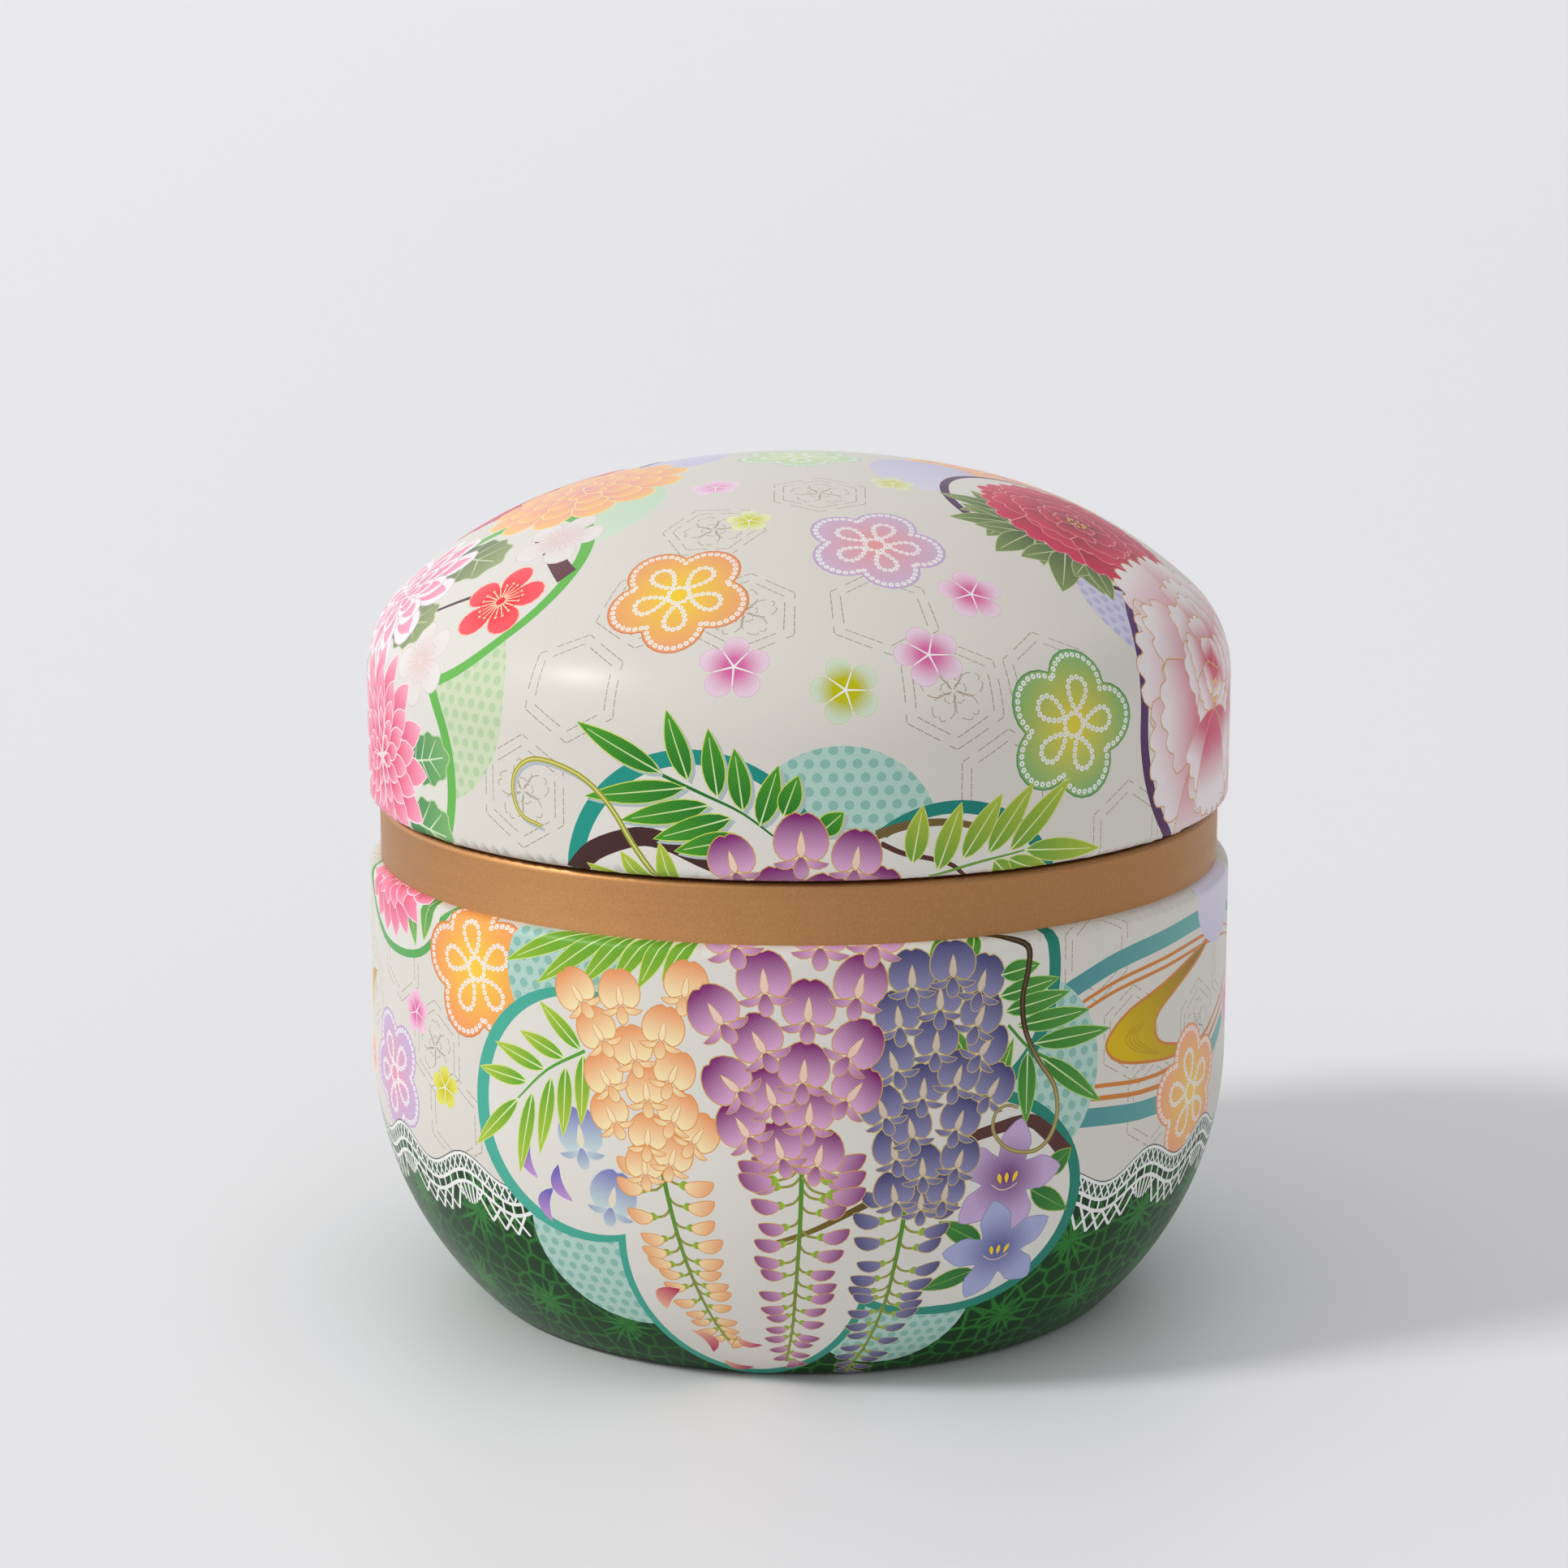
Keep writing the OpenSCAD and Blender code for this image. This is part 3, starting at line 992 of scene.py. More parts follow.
def lace(page, first, last, crest):
    """A strip of needle lace: a fine net above two cords, a fan under each crest, points under each dip"""
    def along(drop):
        xs = np.linspace(first, last, int((last - first) / 0.8) + 2)
        return np.array([(x, lace_edge(x, crest, drop)) for x in xs])

    def stroke(x0, drop0, x1, y1, width):
        if first < min(x0, x1) and max(x0, x1) < last:
            page.band([(x0, lace_edge(x0, crest, drop0)), (x1, y1)], width, WHITE, steps=1)

    shade = Paint((74, 92, 82), (34, 78, 48), (0, LACE_TOP + LACE_RISE), (0, LACE_TOP - 2))
    page.fill(np.vstack([along(-0.1), along(1.9)[::-1]]), shade)
    page.band(along(-0.12), 0.12, (96, 104, 100), steps=1)
    for x in np.arange(first, last, 0.95):
        for way in (-0.95, 0.95):
            stroke(x, 0.0, x + way, lace_edge(x + way, crest, 1.8), 0.2)
    for x in np.arange(first, last, 1.3):
        stroke(x, 1.8, x, lace_edge(x, crest, 3.0), 0.24)
    for k in range(math.floor((first - crest) / LACE_PERIOD), math.ceil((last - crest) / LACE_PERIOD) + 1):
        peak = crest + k * LACE_PERIOD
        dip = peak + LACE_PERIOD / 2
        for i in range(-3, 4):
            stroke(peak + 0.7 * i, 3.0, peak + 0.4 * i, lace_edge(peak, crest, 5.4 - 0.08 * i * i), 0.26)
        for j in range(-2, 3):
            for way in (-1.65, 1.65):
                low = lace_edge(dip, crest, 5.2 - 0.2 * j * j)
                stroke(dip + 1.65 * j + way, 3.0, dip + 1.65 * j, low, 0.3)
    for drop, width in ((0.12, 0.3), (1.8, 0.34), (3.0, 0.38)):
        page.band(along(drop), width, WHITE, steps=1)




# ---------------------------------------------------------------- the body's picture

HALF_TURN = 67.5        # the picture covers half of the way round, and is drawn twice
LACE_PERIOD = 12.1
LACE_TOP = 19.9
LACE_RISE = 1.1
PICTURE_TOP = 47.0
LEFT_CREST, RIGHT_CREST = -36.0, 38.5

ORANGE_RACEME = ((-21.5, 39.6), (-16.8, 40), (-10.2, 41.3), (-12.4, 37), (-19.3, 36.2), (-15.6, 34.9),
                 (-18.6, 32), (-11.3, 33), (-14.2, 31.2), (-18, 28.5), (-11, 29.2), (-14, 26.9), (-8.9, 27.2),
                 (-11.5, 25.1), (-14.4, 24))
MAGENTA_RACEME = ((-6.4, 46.5), (2.1, 46.6), (7.6, 46.6), (-3.2, 42.2), (0.9, 39.6), (5.7, 41.7), (-8, 38.9),
                  (-4, 36.4), (5.6, 35.8), (0.5, 33.8), (-6.8, 32.3), (-2.8, 31.6), (5.5, 31.6), (1, 29.8),
                  (-5.5, 28.3), (-2, 26.5), (2, 25.8))
BLUE_RACEME = ((14.2, 43), (10.3, 42.3), (17.3, 41.3), (13, 40), (9, 38.6), (17.2, 38), (12.7, 36),
               (17.9, 35),
               (8.4, 34.4), (15, 32.6), (11.5, 31.7), (18.7, 31), (7.4, 30), (10.2, 28), (15.2, 28.3),
               (8.6, 26),
               (11.4, 24.2), (15.2, 24.6), (8.7, 21.8), (13.8, 21.5), (11.4, 20.8))


def body_cream(wall):
    """The cream ground above the lace, with its tortoiseshell cells"""
    xs = np.linspace(-HALF_TURN - 0.1, HALF_TURN + 0.1, 260)
    bottom = [(x, lace_edge(x, LEFT_CREST if x < 0 else RIGHT_CREST)) for x in xs]
    side = np.arange(20.0, PICTURE_TOP, 0.5)
    field = bottom + [(xs[-1], y) for y in side] + [(x, PICTURE_TOP) for x in xs[::-1]]
    wall.fill(np.array(field + [(xs[0], y) for y in side[::-1]]), CREAM)
    cells = ((30, 41.5, 0), (38.5, 25.5, 0), (35, 33, 0), (47.5, 31, 1), (56, 36, 0), (-40, 30.5, 1),
             (-47, 38, 0),
             (-37, 24, 0), (-57, 33, 1), (62, 27, 0), (-61.8, 41, 0))
    for x, y, flower in cells:
        hexagon_lines(wall, x, y, 4.6, flower)


def body_left(wall):
    """Left of the frame: a cloud with a chrysanthemum, roundels and small blossoms"""
    outline = smooth([(-60, 48), (-57, 42), (-52, 38.6), (-47, 38), (-42.5, 38.8), (-39.5, 40.8), (-38, 43),
                      (-37, 48)])
    wall.fill(outline, (84, 166, 84))
    wall.fill(grown(outline, -0.8), PAPER)
    leaves(wall, ((-40.5, 46, -41.8, 40.5), (-45, 46, -43.4, 39.6)), 2.4, (120, 180, 90), (50, 130, 60))
    rings = ((9, 1.5, 9.2, 3.0), (8, 0.8, 6.4, 2.6), (6, 0.2, 4.0, 2.0))
    pointed_flower(wall, -49.5, 48.5, rings, (222, 44, 96), (246, 150, 176), (248, 214, 222), 270, -80, 80)
    roundel(wall, -33.2, 39.5, 7.3, (250, 206, 60), (242, 150, 92), (214, 128, 76), 10)
    blossom(wall, -43.5, 33.2, 2.3, (222, 96, 156), (240, 200, 220))
    blossom(wall, -38.4, 26.9, 2.1, (204, 194, 0), (226, 224, 100))
    roundel(wall, -49.5, 25.6, 6.5, (228, 150, 176), (196, 176, 212), (196, 160, 196), 25)
    crescent(wall, -57.5, 31.5, 6.5, 60, (190, 150, 40), (226, 206, 120))
    blossom(wall, -60, 25, 2.8, (240, 150, 90), (248, 214, 180), 20)


def body_right(wall):
    """Right of the frame: a stream of teal and gold bands with a roundel on it"""
    stream = Paint((78, 144, 146), (106, 170, 164), (26, 0), (45, 0))
    upper = [(24, 37.4), (28, 39), (33, 40.4), (40, 41.1), (48, 41.5), (56, 40.8), (61.5, 39.4), (66, 37.2)]
    lower = [(24, 26.6), (29, 25.9), (39, 25), (48, 26.2), (55, 28.6), (61, 31.2), (66, 33)]
    for line in (upper, lower):
        wall.band(line, 1.8, stream, point=0.34)
    thread = (206, 128, 56)
    for line, rise, width in ((upper, -1.9, 0.36), (upper, -2.8, 0.36), (lower, 1.8, 0.48),
                              (lower, 3.0, 0.42)):
        wall.band([(x, y + rise) for x, y in line], width, thread, point=0.4)
    gold = smooth([(51, 39.4), (45, 38.2), (40, 36.9), (34.5, 35.4), (31.6, 33.4), (31.3, 31.8), (33.4, 30.3),
                   (38, 29.4), (42.5, 29), (46.5, 29.4), (42.5, 30.4), (39.8, 31.2), (38.8, 32.5),
                   (39.4, 34.1),
                   (43.4, 36.0), (48, 37.7)])
    wall.fill(gold, thread)
    wall.fill(grown(gold, -0.3), Paint((214, 180, 0), (150, 112, 0), (36, 29), (46, 38)))
    for k in range(4):
        inset = 1.6 + 0.55 * k
        line = [(33.6 + inset, 33.6), (32.4 + inset, 32.4), (34.2 + inset, 31), (38.2 + inset * 0.5, 30)]
        wall.band(line, 0.12, (176, 138, 28), 1.0, 0.4)
    roundel(wall, 46, 24.6, 7.0, (246, 206, 90), (240, 166, 130), (216, 150, 120), 8)
    wall.fill(oval(53.5, 43, 6.5, 5, 42), Paint((204, 198, 222), (222, 216, 230), (53, 38), (53, 46)))
    blossom(wall, 60, 30, 3.0, (222, 96, 156), (240, 200, 220), 15)


def body_frame(wall):
    """The cusped teal frame: its outer lobes, then its inner ones over them"""
    outer = ((-21, 27.2, 12.4, 12.4), (-5.2, 13.5, 12.6, 16.2), (15.5, 18.7, 13.1, 12), (13.8, 14.5, 11, 7.6),
             (12.5, 41, 13, 13))
    inner = ((-20.2, 27.3, 11.6, 11.6), (-5.2, 13.6, 11.8, 15.3), (15.4, 18.8, 11.9, 10.9),
             (13.8, 14.5, 10, 6.6),
             (12.4, 41, 11.8, 11.8))
    for lobe in outer:
        wall.fill(oval(*lobe), Paint((70, 170, 148), (34, 128, 108), (-28, 20), (24, 20)))
    wall.fill(oval(-3, 30, 16, 22, 96), PAPER)
    for lobe in inner:
        wall.fill(oval(*lobe), PAPER)


def body_leaves(wall):
    """The pale flowers, the branch, the leaves and the bellflowers beside the racemes"""
    wisteria(wall, -21.0, 26.2, 1.05, 6, GHOST_FLOWER)
    wisteria(wall, -17.6, 20.6, 1.05, -14, GHOST_FLOWER)
    for x, y, turn in ((-26.3, 22.4, 100), (-22.8, 20.6, 110), (-24.6, 18.0, 80)):
        crescent(wall, x, y, 3.8, turn, (104, 96, 178), (196, 150, 206), 0.36)

    branch = [(15.5, 25.9), (21.5, 26.9), (24, 25.6), (26.6, 22.8)]
    wall.band(branch, 1.5, (88, 52, 48), 0.7, 1.1)
    twig = [(-3.2, 16.1), (1, 17.6), (4.5, 19.4), (7.6, 21.0)]
    wall.band(twig, 0.8, Paint((128, 112, 40), (92, 74, 30), (-3, 16), (7, 21)), 0.5, 1.0)

    stem = [(-20.3, 33.7), (-24.5, 31.3), (-28.0, 28.0)]
    rows = ((-20.7, 33.7, -25.3, 37.8), (-22.5, 32.7, -27.7, 34.6), (-24.7, 31.3, -30.8, 33.0),
            (-26.8, 29.8, -33.0, 30.2),
            (-27.9, 28, -33.7, 22.4), (-26.2, 29, -28.1, 20.6), (-24, 30.8, -25.5, 23),
            (-22.4, 32, -22.8, 25.1),
            (-20.5, 33.4, -20.8, 26.5))
    spray(wall, stem, rows, 1.75, (176, 200, 60), (82, 158, 44), *PALE_EDGES)
    rows = ((-18.5, 46, -29.3, 41), (-16.8, 46, -25.6, 39.4), (-15.2, 46, -21, 39.6),
            (-13.2, 46, -17.6, 40.1),
            (-11.8, 46, -14.9, 40.1), (-9.4, 46, -12.6, 41))
    leaves(wall, rows, 2.0, (150, 190, 50), (70, 150, 40), *PALE_EDGES)
    rows = ((18, 15, 13.2, 18), (17.8, 12, 12.3, 10.2), (24.2, 21.2, 27.1, 23.4), (22.6, 20, 27.4, 17))
    leaves(wall, rows, 2.3, *BELL_LEAF)
    bellflower(wall, 19.9, 21.4, 5.9, -14, (104, 40, 108), (194, 168, 206))
    bellflower(wall, 20, 13.8, 5.7, 12, (80, 80, 140), (166, 172, 210))


def body_racemes(wall):
    """The three racemes of wisteria, with a few fallen petals"""
    tail = [(-12.8, 24), (-11.5, 16.6), (-10.5, 11.9), (-9.1, 6.9), (-7.7, 3.4)]
    raceme_tail(wall, tail, 13, 4.7, 1.7, ORANGE_FLOWER)
    raceme(wall, ORANGE_RACEME, -14, 0.88, 7, ORANGE_FLOWER)
    rows = ((14, 46, 11.4, 41.2), (17, 45.8, 15.2, 41.4), (12.4, 38, 16, 42), (16, 33, 13.8, 37),
            (18.2, 29, 20.4, 35))
    leaves(wall, rows, 1.6, (96, 160, 60), (52, 124, 48))
    raceme_tail(wall, [(10.1, 21.5), (9.3, 13.7), (8.7, 8.6), (7.4, 2.4), (5.6, -2.2)], 14, 4.8, 2.0,
                BLUE_FLOWER)
    raceme(wall, BLUE_RACEME, 11.3, 0.92, 5, BLUE_FLOWER)
    raceme_tail(wall, [(0.3, 25), (0.1, 18), (-0.3, 11.2), (-0.7, 5.6), (-1.5, 0)], 14, 5.0, 2.0,
                MAGENTA_FLOWER)
    for y, side in ((25.8, -1), (24.6, -1), (26.4, 1), (24.8, 1), (23.2, 1)):
        bud(wall, 0.3, y, 6.0, 4, side, MAGENTA_FLOWER)
    raceme(wall, MAGENTA_RACEME, 0, 1.03, 6.5, MAGENTA_FLOWER)
    fallen = ((-13.0, 9.0, 3.4, 58, 0.5, False), (-10.9, 3.0, 3.9, -65, 0.32, False),
              (-5.4, 3.6, 2.7, 153, 0.36, True), (-7.2, -0.7, 3.0, 159, 0.36, True))
    for x, y, length, turn, fat, flip in fallen:
        crescent(wall, x, y, length, turn, (186, 50, 92), (238, 178, 150), fat, flip)


def body_tendril(wall):
    """The leaves at the right of the racemes, and the tendril over them"""
    rows = ((19.0, 41, 23.2, 41.6), (18.8, 39, 25.4, 40), (19.4, 37.5, 26.7, 38.5), (20.6, 36, 29.2, 36.4),
            (22.6, 34.1, 31.9, 34.1), (23.4, 32.7, 30.7, 27.2), (21.9, 33.5, 21.8, 26.5))
    leaves(wall, rows, 2.1, (84, 152, 58), (52, 124, 48), (170, 206, 120), (210, 226, 170))
    wall.band([(19.8, 36.2), (22, 33.8), (24.2, 32.4)], 0.3, LEAF)
    tendril = [(17.9, 45.4), (19.8, 44.5), (21.8, 43.4), (21.9, 41.4), (21.3, 38.6), (21.6, 35.6), (23, 32.6),
               (24.9, 29.8), (25.3, 27), (24.4, 24.8), (22.6, 23.8), (20, 24.4), (18.4, 26.2), (18.6, 28),
               (19.8, 28.6), (21, 28.2)]
    wall.band(tendril, 0.5, Paint((62, 44, 28), (146, 130, 76), (22, 36), (22, 28)), 1.4, 0.6)
    wall.band(tendril, 0.14, Paint((96, 80, 48), (186, 176, 120), (22, 36), (22, 28)), 1.2, 0.6)


def draw_body(wall):
    body_cream(wall)
    stars = ((-59, 14), (-53, 5), (-47, 14.5), (-41, 5), (-35.2, 15), (-29.7, 5.3), (-19.7, 4.1), (23.2, 4.9),
             (28.9, 13.2), (34.7, 4.4), (39.4, 13.9), (47, 5), (52, 13.5), (60, 5))
    for x, y in stars:
        burst(wall, x, y)
    body_left(wall)
    body_right(wall)
    lace(wall, -HALF_TURN, -27.0, LEFT_CREST)
    lace(wall, 26.5, HALF_TURN, RIGHT_CREST)
    for x, y, radius in ((-17.2, 15.2, 10.2), (20.5, 31.3, 9.7), (9.5, 8, 8.6), (-22, 40.5, 7)):
        dotted_cloud(wall, x, y, radius)
    body_frame(wall)
    body_leaves(wall)
    body_racemes(wall)
    body_tendril(wall)




# ---------------------------------------------------------------- the lid's picture

PALE_GREEN = (206, 222, 202)


def lid_ground(wall, top):
    """Tortoiseshell cells and pale discs on the cream ground"""
    cells = ((14.5, 67.5, 1), (-22, 67.5, 0), (-27, 57.2, 1), (-6, 76.5, 1), (25, 67.5, 0), (19.6, 58.4, 0),
             (34, 52, 0), (9.2, 76.6, 0), (-16.6, 77, 0))
    for x, y, flower in cells:
        hexagon_lines(wall, x, y, 5.3, flower)
    for x, y, turn in ((2, -16, 0), (-8, -24, 20)):
        hexagon_lines(top, x, y, 5.0, True, turn)
    top.fill(oval(-22, -13, 9.2, sides=60), Paint(PALE_GREEN, (190, 216, 186), (-22, -22), (-14, -8)))
    dotted_cloud(wall, -39.5, 64.5, 10, (202, 214, 182), (180, 204, 162))
    dotted_cloud(wall, 42, 74, 6.8, (204, 200, 220), (184, 180, 208))
    top.fill(oval(12.5, -4.5, 5.6, 7.5, sides=48), Paint((216, 212, 228), (200, 196, 222), (12, -12),
                                                         (12, 0)))


def lid_left(wall, top):
    """A green-edged panel with plum blossom, and below it one with chrysanthemums"""
    rim = Paint((100, 180, 78), (74, 152, 62), (-44, 70), (-30, 78))
    for page, x, y, radius in ((top, -31.5, -20, 12), (wall, -50, 56, 14)):
        page.fill(oval(x, y, radius), rim)
    for page, x, y, radius in ((top, -31.7, -20.1, 10.8), (wall, -50.4, 55.9, 13.1)):
        page.fill(oval(x, y, radius), PAPER)
    wall.band([(-47, 72), (-42, 75), (-38.4, 76)], 0.5, (74, 46, 50), 0.8, 1.2)
    wall.band([(-44, 84.4), (-38, 82.8), (-34, 81.2), (-30.4, 79.6)], 2.0, (98, 58, 68), 0.7, 1.15)
    white = (228, 223, 218), (222, 208, 206), (226, 196, 184), (218, 204, 200)
    red = (250, 84, 92), (240, 20, 40), (252, 222, 180), (252, 190, 170)
    plum(wall, -43.4, 67.2, 4.4, 30, *white)
    plum(wall, -38.6, 84.6, 4.6, 10, *white)
    for x, y, turn, size in ((-53.5, 69.5, -78, 7.6), (-56, 78.5, -82, 9.0)):
        lobed_leaf(wall, x, y, turn, size, *OLIVE_LEAF)
    plum(wall, -36.9, 75.2, 4.8, 12, *red)
    long_rings = ((10, 2.4, 9.4, 4.0), (9, 1.4, 6.8, 3.3), (7, 0.6, 4.4, 2.6), (5, 0, 2.4, 1.9))
    round_petals(wall, -58, 72, long_rings, (240, 226, 230), (236, 232, 234), (214, 190, 200), 0,
                 ((226, 92, 140), (244, 170, 192)))
    for x, y, turn, size in ((-44, 57.5, -78, 6.8), (-44.5, 52, -96, 7.6)):
        lobed_leaf(wall, x, y, turn, size, *GREY_LEAF)
    pink_rings = ((15, 3.0, 11.2, 3.0), (14, 2.2, 9.0, 2.7), (12, 1.4, 7.0, 2.3), (10, 0.8, 5.0, 1.9),
                  (7, 0.2, 3.0, 1.5))
    pointed_flower(wall, -52, 56.5, pink_rings, (228, 48, 98), (250, 172, 194), (250, 222, 228), 0)
    orange_rings = ((12, 3.5, 10.2, 4.6), (11, 2.4, 7.8, 3.6), (8, 1.0, 5.4, 2.8), (6, 0.2, 3.0, 2.0))
    round_petals(top, -21, -4.8, orange_rings, (230, 130, 170), (248, 196, 112), (246, 220, 150), 8)


def lid_right(wall, top):
    """A purple-edged panel with a crimson peony, and below it one with a pale peony"""
    rim = Paint((80, 40, 84), (112, 90, 150), (42, 60), (20, 90))
    wall.fill(oval(50.4, 62, 14.8, 15.8), rim)
    wall.fill(oval(51.3, 62.2, 14.5, 15.3), PAPER)
    top.fill(oval(26, -10.3, 12.4), rim)
    top.fill(oval(26.3, -10.1, 11.8), PAPER)
    clusters = ((20, -13.5, 80, 6.6), (20.5, -16.5, 110, 6.6), (22.5, -17.5, 150, 7.4), (26, -18.5, 178, 8.2),
                (28.5, -18, 205, 6.4))
    for x, y, turn, size in clusters:
        leaf_cluster(top, x, y, turn, size, *DARK_LEAF)
    red = ((7, 11.0, 11.5, 5), (6, 8.6, 9.4, 4), (5, 6.4, 7.6, 4), (5, 4.2, 5.0, 3), (3, 2.4, 3.4, 3))
    peony(top, 27.5, -9.2, red, (128, 8, 30), (214, 48, 88), (238, 140, 150), 10, 0.95)
    stamens(top, 27.5, -9.2, 0.9, 0.22)
    pale_ink = (206, 40, 90), (236, 226, 226), (208, 160, 100)
    peony(wall, 51.6, 62.8, ((7, 16.6, 16.4, 6), (6, 12.6, 12.6, 5)), *pale_ink, 14, 0.9)
    peony(wall, 51.8, 65.5, ((6, 7.6, 8.2, 4), (5, 5.4, 5.8, 4), (4, 3.2, 4.2, 3)), *pale_ink, 30, 0.85)
    for turn, reach in ((150, 9), (210, 9), (180, 10.8)):
        frilled_petal(wall.stamp(51.2, 61.5, turn), reach, 11, 6, *pale_ink, 0.72)
    stamens(wall, 51.5, 63, 1.0, 0.24)


def lid_scatter(wall, top):
    """The roundels and the small blossoms between the panels"""
    roundel(top, -11.4, -33.8, 7.1, (242, 206, 36), (234, 162, 112), (214, 126, 84), 27)
    roundel(top, 7.2, -27, 6.7, (230, 152, 150), (202, 180, 206), (190, 162, 200), -15)
    roundel(wall, 26.8, 63.4, 7.2, (228, 206, 62), (128, 176, 112), (92, 146, 84), -15)
    pink, pale_pink = (212, 100, 158), (228, 207, 219)
    blossom(wall, -6.2, 70.2, 3.3, pink, pale_pink)
    blossom(wall, 12.8, 71.2, 3.3, pink, pale_pink, 14)
    blossom(wall, 4.3, 68, 3.2, (186, 184, 0), (206, 220, 206), 16, 0.42)
    blossom(top, 16.5, -32, 3.3, (218, 104, 156), (232, 210, 222), 20)
    blossom(top, -4.7, -22.7, 2.2, (206, 204, 40), (228, 232, 190))
    blossom(top, -8, -13, 2.4, (232, 160, 196), (236, 214, 228))
    blossom(top, 9, -11.3, 2.2, (206, 210, 90), (226, 230, 200))


def lid_frame(wall):
    """The frame of the wisteria that the body's picture continues, with its branch and vine"""
    dotted_cloud(wall, 3.8, 53.8, 9.2)
    teal = Paint((30, 146, 130), (22, 124, 112), (-20, 55), (20, 55))
    for x, y, radius in ((-9.6, 50, 12.5), (14.2, 46, 11.6)):
        wall.fill(oval(x, y, radius, sides=80), teal)
    for x, y, radius in ((-9.2, 49.8, 11.3), (14, 45.8, 10.6)):
        wall.fill(oval(x, y, radius, sides=80), PAPER)
    wall.fill(oval(3, 50, 9, 5.4, 55), PAPER)

    branch = [(-21.4, 50.2), (-19.2, 52.6), (-15, 54.2), (-12, 53.9), (-9, 52.6), (-6.5, 51.6)]
    wall.band(branch, 2.3, (66, 38, 36), 0.9, 0.6)
    wall.band([(7, 54.8), (10, 55.6), (14, 55.6), (18, 54.6)], 0.9, (112, 92, 50), 1.0, 0.6)
    wall.band([(7.4, 54), (9.5, 53), (12, 52.4), (14.2, 51.6), (15.8, 50.0)], 0.5, (84, 46, 40), 1.0, 0.8)


def lid_sprays(wall):
    """The sprays of leaves over the frame, the tendril, and the flowers at the top of the raceme"""
    stem = [(-12.4, 60), (-8.5, 58.4), (-5, 56.8), (-1.5, 54.2)]
    green = ((-12.5, 60.2, -21, 64.3), (-10.2, 59, -20.2, 57.5), (-8, 57.5, -16.6, 55.6),
             (-6, 56.4, -13.4, 54.1), (-5, 54.6, -11.4, 53.1), (-10, 59.6, -12.2, 66),
             (-7.3, 58.2, -8.2, 64.5), (-5, 57, -5.8, 62.8), (-3.5, 55.7, -1.8, 61.3), (-1.4, 56.6, 0, 60.4),
             (1.8, 55, 4.1, 57))
    for x1, y1, x2, y2 in green:
        wall.fill(lens((x1 + 0.35, y1 - 0.3), (x2 + 0.35, y2 - 0.3), 2.1), (172, 186, 184))
    spray(wall, stem, green, 2.2, (74, 154, 40), (26, 112, 34), (196, 210, 90), (208, 224, 160))

    rows = ((10.3, 52.0, 11.3, 57.4), (12.7, 51.2, 15.0, 57.4), (15.1, 52.1, 19.1, 57.9),
            (17.6, 52.4, 22.4, 58.6),
            (19.8, 52.4, 26.5, 58.6), (21.4, 52.4, 30.2, 51.5), (18.2, 51.8, 21.4, 48.5),
            (19.6, 51.8, 25.4, 49))
    edges = (206, 214, 120), (222, 228, 170)
    spray(wall, [(12, 50.6), (16, 51.6), (21.6, 52.4)], rows, 2.3, (176, 192, 60), (104, 156, 54), *edges)
    rows = ((-18, 48.4, -24, 49.6), (-15.6, 48.4, -20, 51.4), (-13.4, 48.6, -16.6, 52.8),
            (-11.5, 49, -12.8, 53.9))
    leaves(wall, rows, 2.0, (176, 192, 60), (110, 168, 56), *edges)
    tendril = [(-24.8, 54.2), (-27.2, 55), (-28.2, 57), (-27.8, 59), (-26, 60.3), (-23.2, 60.2), (-20, 59),
               (-17.4, 56.6), (-15.4, 53.6), (-12.8, 50.2)]
    wall.band([(x + 0.3, y - 0.35) for x, y in tendril], 0.5, (176, 186, 190), 0.6, 1.0)
    wall.band(tendril, 0.6, Paint((172, 160, 40), (132, 150, 50), (-28, 58), (-14, 52)), 0.6, 1.0)
    wall.band(tendril, 0.2, (214, 206, 120), 0.6, 1.0)

    flowers = ((-1.8, 50.0, 1.08, 10), (2.4, 49.4, 1.0, -8), (7.4, 50.0, 0.95, -20), (-6.2, 53.0, 0.95, 16),
               (5.3, 53.4, 1.0, -8), (0.2, 54.8, 1.08, 0))
    for x, y, size, lean in flowers:
        wisteria(wall, x, y, size, lean, MAGENTA_FLOWER)


def draw_lid(wall, top):
    lid_ground(wall, top)
    lid_right(wall, top)
    lid_left(wall, top)
    lid_scatter(wall, top)
    lid_frame(wall)
    lid_sprays(wall)


# ---------------------------------------------------------------- pieces

def arc_path(centre, radius, first, last, steps):
    angle = np.radians(np.linspace(first, last, steps + 1))
    return np.stack([centre[0] + radius * np.cos(angle), centre[1] + radius * np.sin(angle)], 1)


def inner_face(profile, stop_radius, step=1.0):
    """A profile walked backwards from its rim to near the axis"""
    count = int(profile.length / step)
    path = profile.at(np.linspace(profile.length, 0, count))[:, :2]
    return path[path[:, 0] > stop_radius]


def lid_inside():
    """The hem rolled in along the rim, then the lid's inner face"""
    hem = (LID_R - HEM_R, LID_BOTTOM + HEM_R)
    turn_up = 0.8
    outer_roll = arc_path(hem, HEM_R, -97, -180, 8)
    edge = [(hem[0] - HEM_R, hem[1] + turn_up), (hem[0] - HEM_R + SHEET_T, hem[1] + turn_up)]
    inner_roll = arc_path(hem, HEM_R - SHEET_T, -180, -97, 8)
    return np.vstack([outer_roll, edge, inner_roll, inner_face(lid_profile(SHEET_T), 0.6)])


def body_inside():
    """The body's inner face, from under the lip"""
    under_lip = [(BODY_R - LIP_R, BODY_TOP - 0.1)]
    return np.vstack([under_lip, inner_face(body_profile(SHEET_T), 0.6)])


def place_piece(piece, node, body):
    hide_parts(node)
    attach(piece, body)


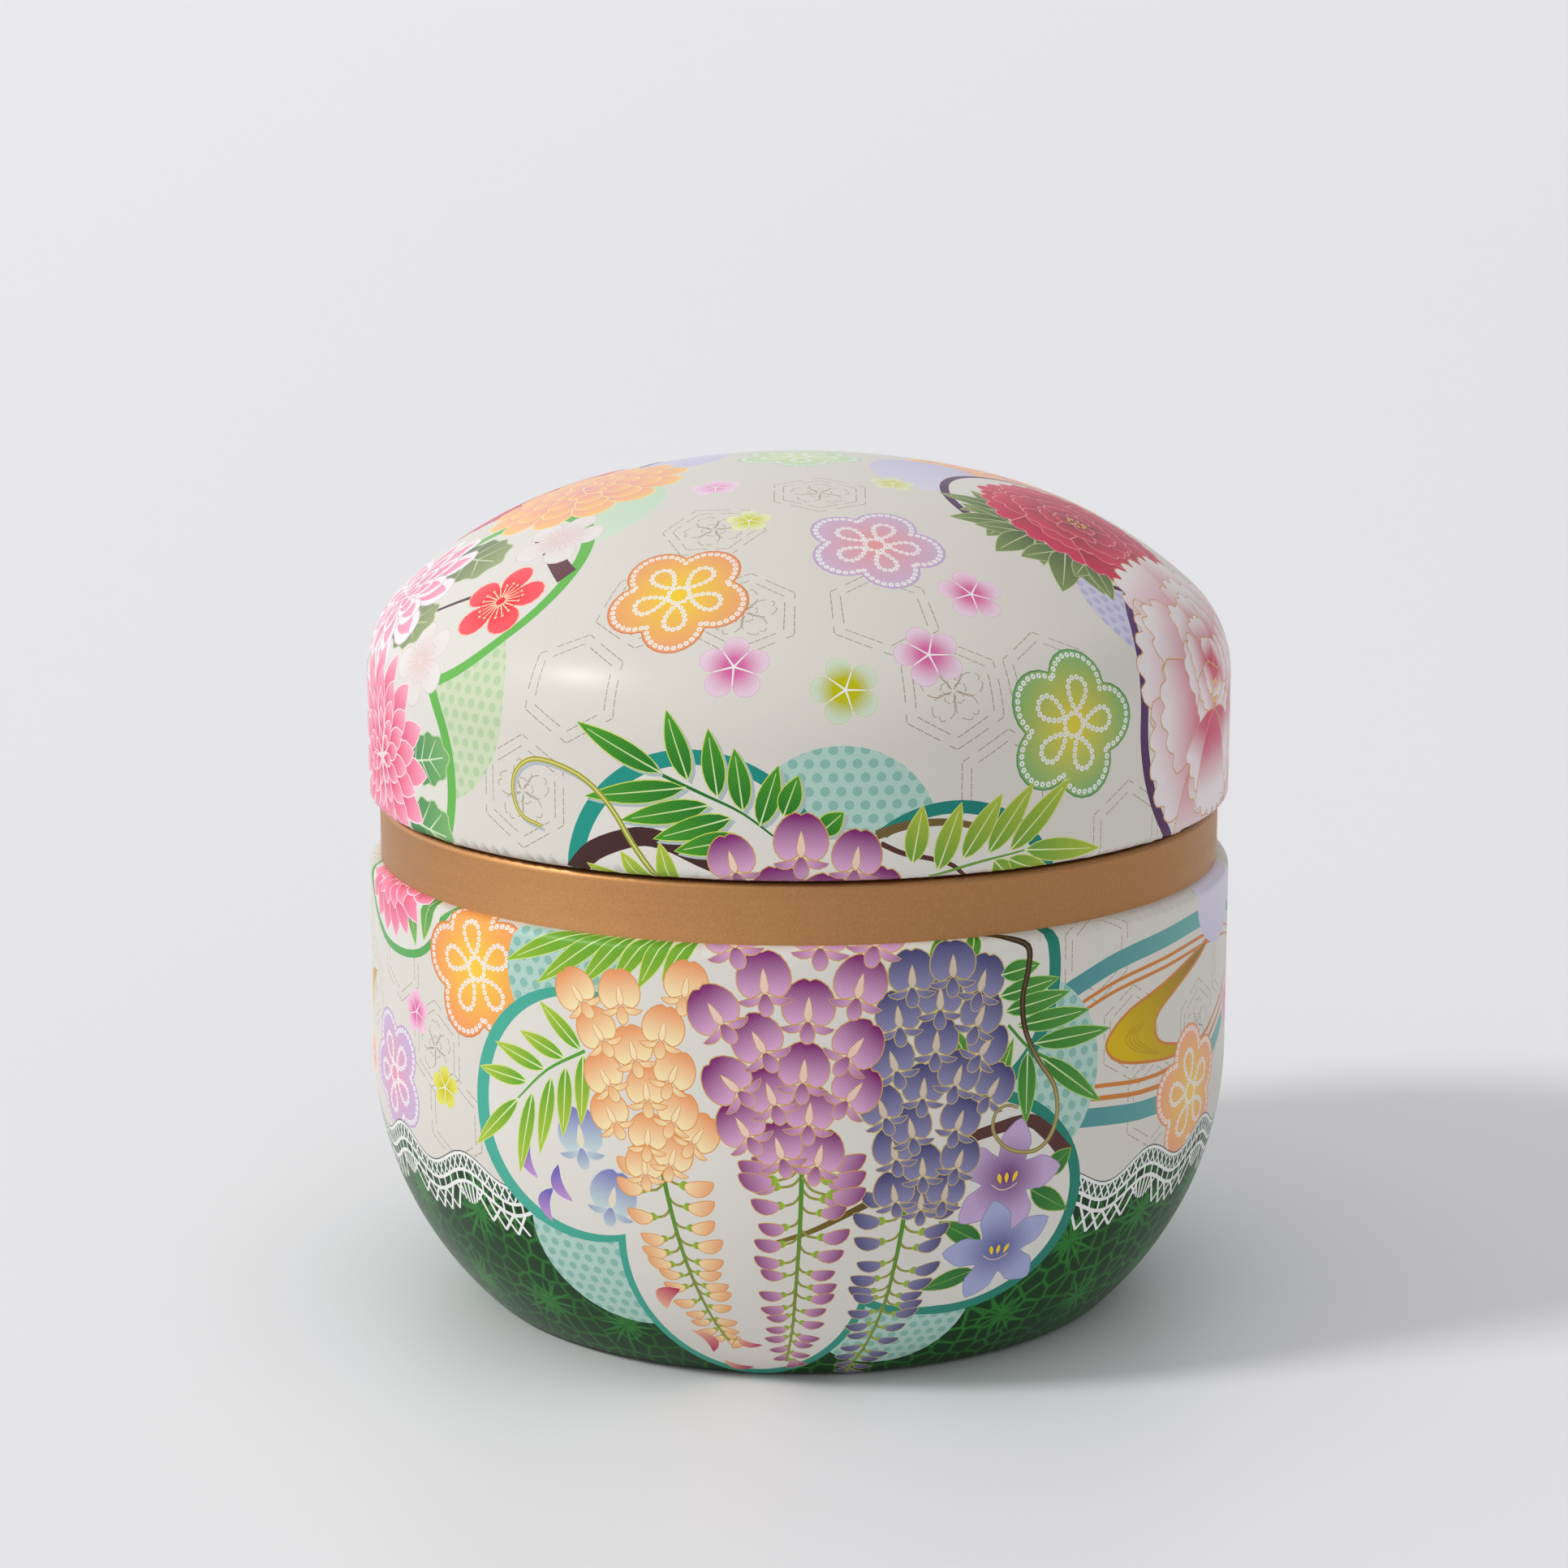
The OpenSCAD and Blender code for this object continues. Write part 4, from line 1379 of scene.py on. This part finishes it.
def turned_piece(name, path, material):
    """A closed outline of (radius, height) turned round the axis"""
    count = 360
    points, faces = revolve(path, TAU * np.arange(count) / count, 1, closed=True)
    mesh = bpy.data.meshes.new(name)
    mesh.from_pydata([tuple(c * MM for c in p) for p in points], [], faces)
    mesh.polygons.foreach_set("use_smooth", np.ones(len(faces), bool))
    mesh.set_sharp_from_angle(angle=math.radians(35))
    mesh.materials.append(material)
    return new_object(name, mesh)


def offset_pair(outside, inside):
    """A sheet's two faces as one outline, in the order that turns its normals outwards"""
    return np.vstack([outside, inside[::-1]])


def ring_face(inset):
    """The neck ring's face, from its press fit in the body over the band's shoulder to the bead"""
    fit_r, band_r = BODY_R - SHEET_T, BODY_R - LIP_R
    shoulder_r, bead_r, neck_step, lid_gap = 0.7, 0.6, 1.1, 0.2
    fit_h, taper_h = 4.0, 2.0
    bottom, top = ring_low[2], ring_high[2]
    neck_r = band_r - neck_step
    band_top = LID_BOTTOM - lid_gap
    shoulder = (band_r - shoulder_r, band_top - shoulder_r)
    bead = (neck_r - bead_r, top - bead_r)
    return np.vstack([
        [(fit_r - inset, bottom), (fit_r - inset, bottom + fit_h),
         (band_r - inset, bottom + fit_h + taper_h)],
        arc_path(shoulder, shoulder_r - inset, 0, 90, 10),
        [(neck_r - inset, band_top - inset)],
        arc_path(bead, bead_r - inset, 0, 200, 20)])


def pan_face(inset):
    """The inner lid's face, from the rivet's hole over the raised disc to the flange"""
    disc_r, disc_rise, corner_r, hole_r, flange_w = 22.0, 0.8, 1.5, 1.55, 1.2
    flange_r = pan_high[0]
    plug_r = flange_r - flange_w
    pan_z, flange_z = pan_low[2], pan_high[2] - SHEET_T
    corner = (plug_r - corner_r, pan_z + corner_r)
    return np.vstack([
        [(hole_r, pan_z + disc_rise + inset), (disc_r - 0.3, pan_z + disc_rise + inset)],
        [(disc_r, pan_z + disc_rise * 0.93 + inset), (disc_r + disc_rise, pan_z + disc_rise * 0.07 + inset)],
        [(disc_r + disc_rise + 0.3, pan_z + inset)],
        arc_path(corner, corner_r - inset, -90, 0, 12),
        [(plug_r - inset, flange_z + inset), (flange_r, flange_z + inset)]])


def knob_face():
    """The knob's outline, from its rivet's head up the stem and over the rounded top"""
    knob_d, knob_h, stem_d, rivet_d = 15.0, 8.0, 7.0, 3.0
    rounding, crown, flare, head = 1.6, 0.6, 1.0, 0.6
    top = knob_high[2]
    seat = top - knob_h
    under = knob_low[2] + head
    centre = (knob_d / 2 - rounding, top - crown - rounding)
    stem_top = top - crown - 2 * rounding
    cove = arc_path((stem_d / 2 + flare, seat + flare), flare, 270, 180, 6)
    dome = [(r, top - crown * (r / centre[0]) ** 2) for r in np.linspace(centre[0] * 0.9, 0.05, 9)]
    return np.vstack([
        [(0.05, under - head), (rivet_d * 0.8, under - head), (rivet_d, under - head * 0.6),
         (rivet_d, under)],
        [(rivet_d / 2, under), (rivet_d / 2, seat)],
        cove,
        [(stem_d / 2, stem_top - flare)],
        arc_path(centre, rounding, -90, 70, 14),
        dome])


# ---------------------------------------------------------------- assembly

ink_material = print_material()
steel = metal_material("plain_tin", (0.62, 0.61, 0.58), 0.3)
copper = metal_material("copper_lacquer", (0.485, 0.243, 0.096), 0.42)

lid = Sheet(lid_profile())
body = Sheet(body_profile())
roundel(Page(lid, "top"), 0, 0, 6.2, (214, 222, 150), (190, 216, 182), (170, 202, 166), 40)
for side_turn in (180, 0):
    lid.spin = spun(side_turn)
    draw_lid(Page(lid, "wall"), Page(lid, "top"))
    body.spin = spun(side_turn)
    draw_body(Page(body, "wall"))

lid_print = build_shell("lid_print", lid, Paint(CREAM), lid_inside(), (ink_material, steel))
body_print = build_shell("body_print", body, Paint(GROUND, mark=1.0), body_inside(), (ink_material, steel))
neck_band = turned_piece("neck_band", offset_pair(ring_face(0), ring_face(SHEET_T)), copper)
inner_lid_pan = turned_piece("inner_lid_pan", offset_pair(pan_face(0), pan_face(SHEET_T)), steel)
inner_lid_grip = turned_piece("inner_lid_grip", knob_face(), steel)

place_piece(lid_print, "lid_shell", "lid_body")
place_piece(body_print, "body_shell", "caddy_body")
place_piece(neck_band, "neck_ring", "caddy_body")
place_piece(inner_lid_pan, "inner_lid", "inner_lid_body")
place_piece(inner_lid_grip, "inner_lid_knob", "inner_lid_body")

make_camera()
make_room()
make_key()
make_floor()
